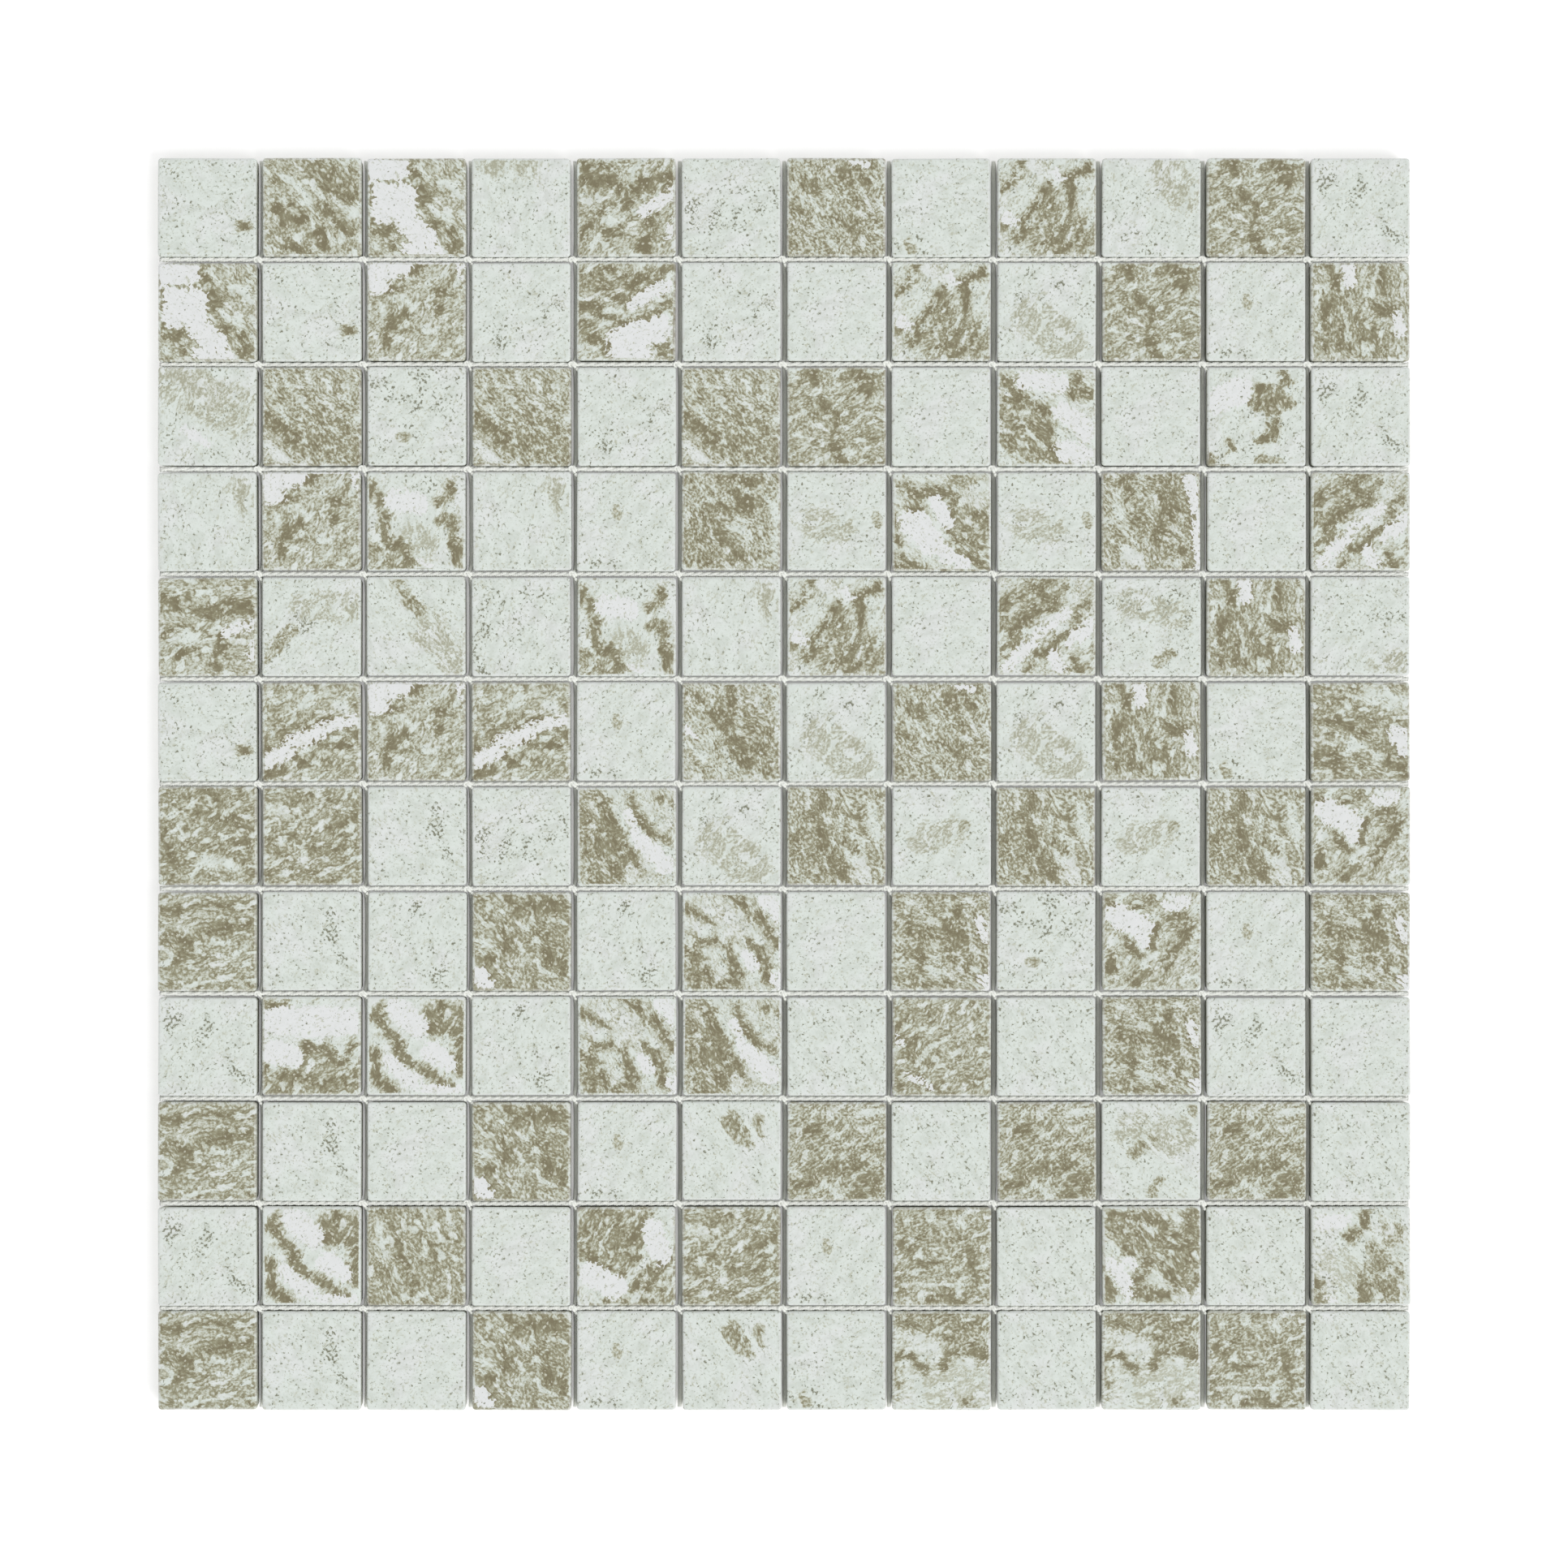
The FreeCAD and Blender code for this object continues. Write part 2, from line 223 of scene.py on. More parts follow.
        solid=[(-0.95, 0.85, -0.6, 0.62, 0.03), (-0.4, 0.7, 0.0, 0.85, 0.04),
            (-0.82, -0.3, -0.85, -0.6, 0.08), (-0.5, -0.05, -0.2, -0.3, 0.05),
            (0.1, 0.3, 0.0, -0.1, 0.05), (0.4, 0.45, 0.6, 0.5, 0.1),
            (0.5, -0.1, 0.3, -0.5, 0.09), (0.75, 0.3, 0.6, 0.0, 0.07),
            (-0.4, -0.8, -0.1, -0.65, 0.08)]),
    "sage_level": design(10, 0.42, grit=0.1,
        solid=[(-0.9, 0.6, -0.6, 0.65, 0.07), (0.0, 0.42, 0.6, 0.36, 0.04),
            (0.1, 0.25, 0.9, 0.4, 0.06), (-0.9, 0.1, -0.3, 0.0, 0.04),
            (-0.6, -0.4, -0.3, -0.15, 0.06), (-0.2, 0.8, 0.5, 0.7, 0.03)],
        pale=[(-0.9, 0.35, -0.2, 0.3, 0.08), (0.2, -0.4, 0.8, -0.1, 0.1)]),
    "dense_corner": design(-45, 0.52, grit=0.35,
        solid=[(-0.3, 0.9, -0.1, 0.6, 0.06), (0.25, 0.7, 0.7, 0.7, 0.15),
            (-0.4, 0.2, -0.3, -0.1, 0.06), (0.5, -0.2, 0.6, -0.3, 0.07),
            (0.7, -0.35, 0.9, -0.5, 0.09), (-0.95, -0.3, -0.6, -0.35, 0.04)],
        brown_at=[(0.2, 0.5, 0.6, 0.1, 0.3)],
        clear=[(-0.85, -0.68, -0.72, -0.9, 0.17)],
        pale=[(0.05, -0.4, -0.2, -0.5, 0.12), (-0.8, 0.1, -0.7, -0.1, 0.12)]),
    "slanted_lines": design(-60, 0.08, fleck=0.7, grit=0.5,
        solid=[(-0.95, 0.75, -0.5, 0.45, 0.03), (-0.1, 0.95, 0.3, 0.7, 0.04),
            (0.35, 0.7, 0.65, 0.4, 0.07), (0.7, 0.35, 0.95, -0.1, 0.05),
            (0.4, 0.0, 0.65, -0.15, 0.03), (0.58, -0.3, 0.72, -0.8, 0.07),
            (-0.6, 0.0, -0.35, 0.02, 0.05), (-0.7, -0.3, -0.5, -0.6, 0.06),
            (-0.1, -0.1, 0.1, -0.7, 0.06), (-0.4, -0.8, -0.2, -0.95, 0.07),
            (-0.1, -0.85, 0.1, -0.85, 0.05)],
        brown_at=[(-0.85, 0.0, -0.7, -0.8, 0.2)],
        clear=[(0.3, -0.2, 0.42, -0.5, 0.1), (0.7, 0.85, 0.95, 0.55, 0.14),
            (0.85, -0.75, 0.95, -0.9, 0.07)]),
    "ragged_heart": design(-20, 0.42, grit=0.9,
        solid=[(0.28, 0.95, 0.3, 0.6, 0.08), (0.2, 0.3, 0.4, -0.05, 0.14),
            (-0.6, 0.3, -0.45, 0.15, 0.08), (-0.4, -0.2, -0.4, -0.5, 0.08),
            (-0.5, -0.85, -0.25, -0.9, 0.09)],
        brown_at=[(-0.7, 0.3, 0.3, -0.1, 0.25), (0.3, -0.3, 0.5, -0.5, 0.2),
            (0.0, -0.85, 0.2, -0.9, 0.15)],
        clear=[(0.8, 0.4, 0.9, 0.1, 0.1), (0.85, -0.75, 0.95, -0.9, 0.12)],
        pale=[(-0.2, -0.4, -0.1, -0.7, 0.1)]),
    "lobed_foot": design(30, 0.06, fleck=0.3, grit=0.15,
        clear=[(-0.8, 0.5, 0.85, 0.5, 0.28), (-0.9, -0.1, -0.4, -0.2, 0.2)],
        solid=[(-0.95, 0.85, -0.55, 0.8, 0.08), (-0.95, -0.45, -0.3, -0.62, 0.05),
            (-0.2, -0.55, -0.1, 0.0, 0.06), (-0.1, 0.02, 0.1, -0.1, 0.08),
            (0.3, 0.0, 0.5, -0.3, 0.06), (0.6, -0.35, 0.9, 0.0, 0.05)],
        brown_at=[(-0.7, -0.85, 0.9, -0.7, 0.28), (0.1, -0.2, 0.4, -0.4, 0.15)]),
    "ring_and_veins": design(60, 0.05, fleck=0.3, grit=0.3,
        solid=[(0.25, 0.6, 0.5, 0.85, 0.07), (0.3, 0.35, 0.7, 0.35, 0.09),
            (0.75, 0.3, 0.9, 0.38, 0.06), (-0.9, 0.6, -0.7, 0.75, 0.06),
            (-0.75, 0.5, -0.4, 0.1, 0.05), (-0.35, -0.05, -0.15, -0.25, 0.09),
            (-0.1, -0.3, 0.3, -0.6, 0.04), (0.35, -0.6, 0.6, -0.8, 0.06),
            (0.92, 0.2, 0.87, -0.5, 0.07), (-0.9, -0.1, -0.82, -0.3, 0.08),
            (-0.85, -0.6, -0.5, -0.9, 0.1)],
        brown_at=[(0.5, 0.55, 0.8, 0.7, 0.2)],
        clear=[(-0.4, 0.8, 0.0, 0.4, 0.2), (0.3, -0.1, 0.6, -0.3, 0.2),
            (-0.55, -0.3, -0.05, -0.7, 0.14), (0.2, -0.88, 0.8, -0.9, 0.09)]),
    "steep_tan": design(-60, 0.5, grit=0.3,
        solid=[(-0.38, 0.25, -0.2, -0.15, 0.05), (0.3, 0.2, 0.4, 0.0, 0.04)],
        pale=[(-0.8, 0.7, -0.6, 0.1, 0.12), (0.3, 0.6, 0.35, 0.4, 0.09),
            (0.5, -0.1, 0.65, -0.45, 0.07), (0.6, 0.8, 0.8, 0.6, 0.1)]),
    "brown_lobe": design(60, 0.06, grit=0.2,
        solid=[(0.1, 0.4, 0.2, 0.0, 0.07), (0.45, 0.9, 0.25, 0.45, 0.04),
            (-0.9, 0.0, -0.6, -0.1, 0.04), (-0.5, -0.15, -0.1, -0.35, 0.05),
            (0.3, -0.45, 0.1, -0.65, 0.06), (0.5, -0.3, 0.85, -0.05, 0.07),
            (0.4, -0.6, 0.6, -0.4, 0.05), (-0.35, -0.88, 0.0, -0.95, 0.05),
            (0.3, -0.9, 0.5, -0.95, 0.04)],
        brown_at=[(-0.8, 0.6, -0.1, 0.4, 0.55), (-0.3, 0.1, 0.0, 0.0, 0.2),
            (0.8, -0.6, 0.9, -0.9, 0.2)],
        clear=[(0.55, 0.5, 0.7, 0.05, 0.22), (-0.7, -0.35, -0.25, -0.6, 0.22)]),
    "tan_waves": design(20, 0.48, grit=0.4,
        solid=[(-0.8, 0.25, -0.6, 0.2, 0.08), (-0.45, -0.15, -0.2, -0.1, 0.05),
            (0.62, 0.2, 0.7, -0.3, 0.04), (-0.3, -0.82, 0.3, -0.85, 0.05),
            (0.3, -0.92, 0.8, -0.9, 0.04)],
        pale=[(-0.6, -0.55, 0.5, -0.55, 0.11), (0.92, 0.0, 0.95, -0.3, 0.08),
            (-0.1, 0.7, 0.3, 0.8, 0.1)]),
    "white_foot": design(-40, 0.08, grit=0.2,
        solid=[(-0.8, 0.88, -0.2, 0.75, 0.05), (-0.2, 0.8, 0.3, 0.6, 0.09),
            (0.3, 0.6, 0.6, 0.2, 0.08), (-0.5, 0.1, 0.0, -0.1, 0.03),
            (-0.1, -0.2, -0.35, -0.5, 0.07), (-0.3, -0.72, 0.2, -0.8, 0.08),
            (0.3, -0.2, 0.5, -0.6, 0.05), (0.72, 0.5, 0.8, 0.3, 0.09),
            (-0.95, -0.5, -0.8, -0.8, 0.08)],
        brown_at=[(-0.8, 0.6, -0.2, 0.3, 0.28), (0.3, 0.2, 0.7, -0.4, 0.35),
            (0.8, 0.8, 0.9, 0.2, 0.2)],
        clear=[(-0.8, -0.15, -0.55, -0.6, 0.12), (-0.5, -0.15, -0.4, -0.2, 0.08),
            (-0.5, -0.9, -0.4, -0.8, 0.06)]),
    "arcs": design(20, 0.08, fleck=0.3, grit=0.4,
        solid=[(-0.9, 0.15, -0.6, 0.1, 0.05), (-0.6, 0.1, -0.35, -0.2, 0.05),
            (0.0, -0.1, 0.08, 0.15, 0.04), (0.1, 0.15, 0.6, 0.17, 0.05),
            (0.72, 0.18, 0.85, 0.15, 0.11), (-0.95, -0.2, -0.9, -0.4, 0.06),
            (0.55, -0.82, 0.6, -0.95, 0.07)],
        brown_at=[(-0.7, 0.85, 0.8, 0.75, 0.25), (0.2, 0.5, 0.6, 0.4, 0.12)],
        tan=[(0.0, -0.5, 0.5, -0.6, 0.45)]),
    "side_lobes": design(60, 0.04, fleck=0.6, grit=0.4,
        solid=[(-0.75, 0.5, -0.6, 0.1, 0.06), (-0.7, -0.1, -0.5, -0.45, 0.06),
            (-0.5, -0.45, -0.2, -0.6, 0.08), (-0.95, 0.8, -0.9, 0.5, 0.07),
            (-0.12, -0.85, -0.3, -0.95, 0.05), (0.72, 0.8, 0.7, 0.5, 0.04),
            (0.7, 0.5, 0.45, 0.35, 0.04), (0.5, 0.05, 0.8, 0.0, 0.05),
            (0.8, -0.1, 0.8, -0.5, 0.04), (0.85, -0.6, 0.85, -0.85, 0.1)],
        brown_at=[(-0.9, -0.6, -0.8, -0.8, 0.15), (-0.5, -0.85, -0.3, -0.8, 0.12)],
        clear=[(-0.4, 0.45, 0.0, 0.35, 0.2), (0.1, -0.85, 0.2, -0.9, 0.06)],
        tan=[(0.0, -0.3, 0.2, -0.5, 0.3)]),
    "ring_drop": design(-45, 0.06, fleck=0.7, grit=0.7,
        solid=[(0.1, 0.95, 0.03, 0.55, 0.05), (0.0, 0.5, -0.22, 0.37, 0.04),
            (0.05, -0.25, 0.05, -0.5, 0.04), (0.08, -0.68, 0.1, -0.8, 0.13),
            (-0.98, -0.5, -0.88, -0.6, 0.07), (-0.9, -0.85, -0.82, -0.95, 0.07)],
        brown_at=[(0.55, 0.6, 0.6, 0.25, 0.06), (0.75, 0.55, 0.72, 0.3, 0.06),
            (0.3, 0.1, 0.6, -0.8, 0.2), (0.7, -0.2, 0.75, -0.8, 0.08)],
        clear=[(-0.85, 0.7, -0.4, 0.7, 0.14), (-0.7, -0.85, -0.5, -0.9, 0.05)],
        tan=[(-0.5, -0.1, -0.1, -0.6, 0.3)]),
    "white_heart": design(-45, 0.08, grit=0.5,
        clear=[(-0.1, 0.4, 0.1, 0.0, 0.14), (-0.6, 0.0, -0.25, -0.4, 0.24),
            (0.0, -0.6, 0.4, -0.9, 0.15)],
        solid=[(-0.8, 0.75, -0.5, 0.5, 0.05), (-0.7, 0.35, -0.45, 0.2, 0.05),
            (-0.3, 0.6, 0.15, 0.6, 0.09), (0.3, 0.5, 0.2, 0.0, 0.05),
            (0.2, 0.0, 0.2, -0.35, 0.05), (0.3, -0.6, 0.9, -0.95, 0.03),
            (0.7, 0.1, 1.0, -0.05, 0.05), (-0.97, 0.05, -0.93, -0.4, 0.05),
            (-0.95, -0.8, -0.4, -0.95, 0.07)],
        brown_at=[(0.6, 0.0, 0.7, -0.6, 0.3), (0.3, 0.85, 0.6, 0.8, 0.12)]),
    "slope_lines": design(45, 0.1, grit=0.6,
        solid=[(-0.8, 0.5, -0.55, 0.62, 0.06), (-0.1, 0.55, 0.2, 0.55, 0.07),
            (-0.5, 0.2, 0.2, 0.4, 0.05), (-0.6, 0.0, -0.6, -0.3, 0.07),
            (-0.95, -0.55, -0.65, -0.4, 0.05), (-0.4, -0.95, -0.2, -0.6, 0.04),
            (-0.2, -0.55, 0.05, -0.45, 0.08), (0.1, -0.4, 0.6, 0.1, 0.05),
            (0.6, 0.1, 0.9, 0.5, 0.04), (0.6, -0.75, 0.7, -0.85, 0.09)],
        brown_at=[(-0.8, 0.2, 0.1, 0.8, 0.35)],
        clear=[(-0.8, -0.9, -0.25, -0.25, 0.09), (-0.2, -0.15, 0.4, 0.3, 0.08),
            (0.5, -0.3, 0.9, 0.0, 0.14), (0.15, -0.6, 0.35, -0.9, 0.1)]),
    "river": design(25, 0.25, grit=0.1,
        clear=[(-0.95, -0.6, -0.5, -0.4, 0.14), (-0.4, -0.2, 0.2, 0.0, 0.12),
            (0.2, 0.1, 0.9, 0.2, 0.1)],
        solid=[(0.1, 0.3, 0.3, 0.27, 0.11), (-0.6, -0.05, -0.4, -0.1, 0.11),
            (-0.3, 0.1, -0.1, 0.12, 0.08), (-0.98, -0.15, -0.92, -0.25, 0.08),
            (-0.32, -0.5, -0.2, -0.6, 0.08), (-0.9, -0.85, -0.6, -0.8, 0.07),
            (0.0, -0.2, 0.8, -0.3, 0.03), (0.8, 0.02, 0.95, -0.15, 0.09),
            (0.0, -0.5, 0.4, -0.6, 0.04)],
        pale=[(-0.2, 0.5, 0.0, 0.7, 0.12), (0.5, 0.6, 0.7, 0.4, 0.12)]),
    "lobed_left": design(-40, 0.25, grit=0.2,
        clear=[(-0.9, 0.8, -0.42, 0.8, 0.24), (-0.65, 0.25, -0.25, 0.2, 0.27),
            (-0.7, -0.1, -0.2, -0.15, 0.2), (-0.15, -0.35, 0.2, -0.6, 0.2),
            (-0.1, -0.85, 0.3, -0.88, 0.18)],
        solid=[(-0.15, 0.85, 0.0, 0.6, 0.07), (0.1, 0.3, 0.2, 0.1, 0.1),
            (0.3, -0.3, 0.9, -0.6, 0.04), (0.68, -0.82, 0.8, -0.72, 0.09),
            (-0.85, -0.45, -0.5, -0.57, 0.09), (-0.55, -0.85, -0.5, -0.75, 0.04),
            (-0.97, 0.4, -0.95, 0.15, 0.07)],
        pale=[(0.6, 0.5, 0.8, 0.3, 0.12), (0.4, -0.1, 0.7, -0.3, 0.08)]),
    "lobed_corner": design(50, 0.2, grit=0.4,
        clear=[(-0.95, 0.8, -0.3, 0.87, 0.19), (-0.95, 0.5, -0.66, 0.5, 0.14),
            (0.92, 0.95, 0.98, 0.7, 0.07)],
        solid=[(-0.5, 0.45, -0.38, 0.5, 0.1), (-0.15, 0.7, 0.0, 0.9, 0.06),
            (0.75, 0.8, 0.65, 0.3, 0.05), (0.5, 0.35, 0.45, -0.05, 0.08),
            (-0.5, -0.2, -0.6, -0.7, 0.08), (-0.2, 0.0, -0.45, -0.4, 0.06)],
        pale=[(-0.7, 0.1, -0.6, -0.2, 0.1), (-0.3, 0.3, -0.1, 0.1, 0.08)]),
    "white_slope": design(30, 0.1, grit=0.5,
        clear=[(0.1, 0.15, 0.85, 0.5, 0.1), (-0.1, -0.6, 0.7, -0.3, 0.26),
            (-0.2, -0.85, 0.4, -0.88, 0.16)],
        solid=[(-0.4, 0.7, -0.3, 0.8, 0.1), (0.05, 0.52, 0.45, 0.58, 0.1),
            (-0.25, 0.3, 0.0, 0.25, 0.06), (0.75, 0.8, 0.95, 0.85, 0.07),
            (-0.95, 0.1, -0.6, 0.12, 0.08), (-0.7, -0.05, -0.25, -0.12, 0.04),
            (-0.25, -0.35, 0.3, -0.15, 0.06), (0.3, -0.15, 0.7, 0.05, 0.04),
            (0.85, 0.2, 1.0, 0.2, 0.08), (-0.6, -0.55, -0.45, -0.75, 0.1),
            (0.75, -0.7, 0.92, -0.85, 0.1)],
        brown_at=[(-0.8, 0.6, 0.4, 0.65, 0.3), (-0.85, -0.1, -0.7, -0.5, 0.2)]),
    "steep_vein": design(60, 0.08, fleck=0.6, grit=0.5,
        solid=[(-0.95, 0.3, -0.75, 0.5, 0.03), (-0.62, 0.7, -0.45, 0.95, 0.04),
            (0.22, -0.85, 0.3, -0.75, 0.12), (0.3, -0.6, 0.5, 0.1, 0.05),
            (0.5, 0.1, 0.45, 0.55, 0.06), (0.48, 0.6, 0.8, 0.8, 0.08),
            (0.1, 0.4, -0.1, 0.2, 0.05), (-0.15, 0.2, -0.45, -0.3, 0.03),
            (-0.45, -0.3, -0.5, -0.6, 0.04), (-0.95, -0.35, -0.7, -0.55, 0.06)],
        brown_at=[(0.05, 0.1, 0.05, -0.7, 0.22), (-0.3, -0.5, -0.2, -0.8, 0.12),
            (0.7, -0.4, 0.8, -0.8, 0.2)],
        clear=[(-0.85, -0.2, -0.65, -0.3, 0.1), (0.2, 0.7, 0.3, 0.6, 0.08)]),
    "falls": design(-80, 0.28, fleck=0.6, grit=0.4,
        solid=[(-0.7, 0.2, -0.72, -0.7, 0.05), (-0.65, 0.95, -0.45, 0.5, 0.06),
            (0.5, 0.62, 0.55, 0.42, 0.11), (0.45, 0.88, 0.5, 0.7, 0.04),
            (0.35, 0.05, 0.6, 0.0, 0.08), (0.28, -0.5, 0.35, -0.9, 0.08),
            (-0.5, -0.5, -0.4, -0.7, 0.09)],
        brown_at=[(-0.4, 0.1, 0.1, -0.5, 0.3), (-0.3, 0.3, -0.1, 0.3, 0.1)],
        clear=[(-0.25, 0.85, -0.2, 0.6, 0.13), (0.75, -0.1, 0.85, -0.4, 0.1)]),
    "lobed_fall": design(-30, 0.08, fleck=0.5, grit=0.45,
        clear=[(-0.5, 0.75, 0.3, 0.7, 0.16), (0.3, 0.1, 0.8, -0.3, 0.18),
            (0.35, -0.7, 0.8, -0.75, 0.18)],
        solid=[(-0.9, 0.7, -0.6, 0.65, 0.08), (-0.75, 0.5, -0.3, 0.25, 0.05),
            (-0.3, 0.2, 0.0, 0.15, 0.05), (0.0, -0.15, 0.0, -0.35, 0.09),
            (0.1, -0.75, 0.25, -0.9, 0.07), (0.55, 0.5, 0.9, 0.45, 0.09),
            (0.62, 0.85, 0.7, 0.75, 0.05)],
        brown_at=[(-0.8, 0.0, -0.3, -0.5, 0.45), (-0.3, -0.7, 0.0, -0.8, 0.2)]),
    "lone_patch": design(60, 0.0, fleck=0.6, grit=0.5,
        solid=[(0.0, 0.58, 0.45, 0.58, 0.06), (0.5, 0.88, 0.6, 0.65, 0.05),
            (-0.1, 0.3, -0.05, 0.15, 0.05), (0.1, 0.15, 0.35, 0.1, 0.07),
            (0.5, 0.35, 0.7, 0.2, 0.05), (0.35, -0.05, 0.35, -0.3, 0.05),
            (0.35, -0.35, 0.05, -0.5, 0.05), (-0.97, -0.85, -0.88, -0.95, 0.08),
            (-0.55, -0.5, -0.5, -0.65, 0.03)],
        brown_at=[(0.1, 0.4, 0.55, 0.3, 0.15), (0.1, -0.9, 0.4, -0.95, 0.08)],
        clear=[(-0.8, 0.3, -0.35, 0.5, 0.25)]),
    "hatched": design(40, 0.42, grit=0.25,
        solid=[(-0.95, 0.4, -0.82, 0.35, 0.07), (-0.6, 0.12, -0.45, 0.18, 0.06),
            (-0.95, -0.6, -0.8, -0.8, 0.07), (-0.3, -0.85, 0.2, -0.97, 0.02)],
        brown_at=[(-0.8, 0.7, -0.6, 0.6, 0.15), (-0.6, -0.1, -0.4, -0.3, 0.2)],
        clear=[(-0.92, 0.2, -0.8, 0.1, 0.07), (-0.7, -0.55, -0.2, -0.82, 0.05)],
        pale=[(0.3, 0.2, 0.4, 0.0, 0.08)]),
    "heavy_slope": design(40, 0.45, grit=0.8,
        solid=[(-0.8, -0.7, -0.05, -0.3, 0.08), (-0.6, 0.45, -0.3, 0.45, 0.06),
            (0.5, -0.4, 0.7, -0.7, 0.13), (0.35, -0.75, 0.5, -0.95, 0.1)],
        brown_at=[(-0.4, -0.4, 0.3, -0.1, 0.2), (0.3, -0.1, 0.9, 0.1, 0.14),
            (0.85, -0.3, 0.8, -0.7, 0.15)],
        pale=[(-0.2, -0.65, 0.0, -0.9, 0.14), (0.4, 0.75, 0.9, 0.8, 0.14)]),
    "tan_stroke": design(-40, grit=0.7, tan=[(-0.4, 0.4, 0.5, 0.3, 0.4)],
        brown_at=[(-0.4, -0.1, 0.0, 0.2, 0.07), (0.0, -0.9, 0.2, -0.6, 0.07),
            (0.78, 0.9, 0.85, 0.75, 0.06)]),
}

# The designs as the sheet carries them, row by row from its top edge.
LAYOUT = """
spot dense_patch lobed_left tan_top dense_slope flecked_band
    dense_fine low_flecks steep_vein tan_right tan_vein cloudy
lobed_left spot lobed_corner ridged_fleck white_slope ridged_fleck
    plain steep_vein tan_low tan_vein few falls
tan_cloud dense_fall top_flecks dense_fall ridged_fleck dense_fall
    tan_vein plain lobed_fall plain lone_patch cloudy
tan_corner lobed_corner side_lobes tan_corner few brown_fall
    sage_cloud white_heart sage_cloud ragged_right plain slope_lines
level_swirl tan_slope tan_fall left_flecks side_lobes tan_corner
    steep_vein plain slope_lines tan_band falls fleck_fall
spot river lobed_corner river few slant_band
    tan_low dense_fine tan_low falls low_flecks sage_drift
swirl level_dense right_flecks flecked_band half_fall tan_low
    veined_fall tan_heart veined_fall tan_heart veined_fall white_left
sage_level right_flecks two_flecks dense_corner two_flecks slanted_lines
    plain ragged_heart top_flecks white_left few ragged_heart
cloudy lobed_foot ring_and_veins two_flecks slanted_lines half_fall
    scratch hatched scratch ragged_heart cloudy plain
sage_level right_flecks plain dense_corner few ring_patch
    heavy_slope scratch heavy_slope tan_stroke heavy_slope scratch
cloudy ring_and_veins steep_tan plain brown_lobe level_dense
    few tan_waves scratch white_foot scratch ring_drop
sage_level right_flecks plain dense_corner few ring_patch
    low_flecks arcs scratch arcs tan_waves scratch
"""


def linear(red, green, blue):
    """A colour as a screen shows it, from 0 to 255, in the light-linear values that Blender keeps."""
    return tuple(
        (part / 255 / 12.92 if part <= 10 else ((part / 255 + 0.055) / 1.055) ** 2.4)
        for part in (red, green, blue)
    )


def colour(name, description, red, green, blue):
    return bpy.props.FloatVectorProperty(
        name=name,
        description=description,
        subtype="COLOR",
        size=3,
        min=0.0,
        max=1.0,
        default=linear(red, green, blue),
    )


def length(name, description, millimetres):
    return bpy.props.FloatProperty(
        name=name,
        description=description,
        subtype="DISTANCE",
        unit="LENGTH",
        min=0.0,
        default=millimetres * MM,
    )


class TileSettings(bpy.types.PropertyGroup):
    """Sizes and colours of the printed tiles."""

    edge_roll: length("Edge roll", "Radius of the rolled edge round the printed face", 0.7)
    corner_round: length("Corner round", "Radius of the upright corners", 0.8)
    lean: bpy.props.FloatProperty(
        name="Lean",
        description="How far the pressed sides lean in towards the back",
        subtype="ANGLE",
        unit="ROTATION",
        default=math.radians(3.0),
    )
    print_step: length("Print step", "Spacing of the points that the print is laid on", 1.0)
    slip: length("Slip", "How far a tile may sit off its place in the grid", 0.17)
    dip: length("Dip", "How far the pressed face may dip below its highest points", 0.07)
    turn: bpy.props.FloatProperty(
        name="Turn",
        description="How far a tile may be turned out of line",
        subtype="ANGLE",
        unit="ROTATION",
        default=math.radians(0.3),
    )
    sage_white: colour("Sage white", "Greenish ground of the print", 220, 227, 221)
    # Lilac white is also the colour of the painted highlight over the rolled edge.
    lilac_white: colour("Lilac white", "Clear patches of the print", 227, 229, 229)
    tan: colour("Tan", "Clouds on the ground and the pale edges of the mottle", 191, 194, 177)
    brown: colour("Brown", "Most of the mottle", 151, 148, 122)
    umber: colour("Umber", "Heart of the mottle", 124, 117, 91)
    crumb: colour("Crumb", "Pale crumbs in the mottle", 224, 226, 210)
    sage: colour("Sage", "Streaks and soft specks over the ground", 158, 164, 146)
    speck: colour("Speck", "Crisp specks over the ground", 112, 110, 90)
    body: colour("Body", "Unglazed sides and back", 207, 209, 197)


class NetSettings(bpy.types.PropertyGroup):
    """Sizes and colour of the cord net that holds the tiles."""

    ply: length("Ply", "Radius of one of a cord's two plies", 0.52)
    spread: bpy.props.FloatProperty(
        name="Spread",
        description="How far apart the plies' middles lie, as a share of their width",
        subtype="FACTOR",
        default=0.36,
    )
    lift: length("Lift", "How far a cord is pulled against the row above it", 0.05)
    short_lay: length("Short lay", "Length of one turn of the tightest cord", 4.2)
    long_lay: length("Long lay", "Length of one turn of the slackest cord", 6.6)
    rise: length("Rise", "How far the strands climb to meet the cords at a knot", 2.3)
    sway: length("Sway", "How far a cord wanders from the middle of its joint", 0.1)
    white: colour("White", "Bleached yarn", 246, 248, 242)


class StageSettings(bpy.types.PropertyGroup):
    """Camera, floor and light."""

    distance: length("Camera distance", "Camera to the printed face", 750.0)
    view_width: length("View width", "What the picture takes in at the printed face", 395.8)
    floor: length("Floor", "Side of the floor", 6000.0)
    key: bpy.props.FloatProperty(name="Key", description="Strength of the main light", default=1.05)
    fill: bpy.props.FloatProperty(name="Fill", description="Strength of the sky", default=0.80)
    white: colour("White", "Floor and backdrop", 244, 244, 244)


def settings():
    return bpy.context.scene.tile_sheet


class SheetSettings(bpy.types.PropertyGroup):
    """All settings of the sheet."""

    tiles: bpy.props.PointerProperty(type=TileSettings, name="Tiles", description="Printed tiles")
    net: bpy.props.PointerProperty(type=NetSettings, name="Net", description="Cord net")
    stage: bpy.props.PointerProperty(type=StageSettings, name="Stage", description="Stage")


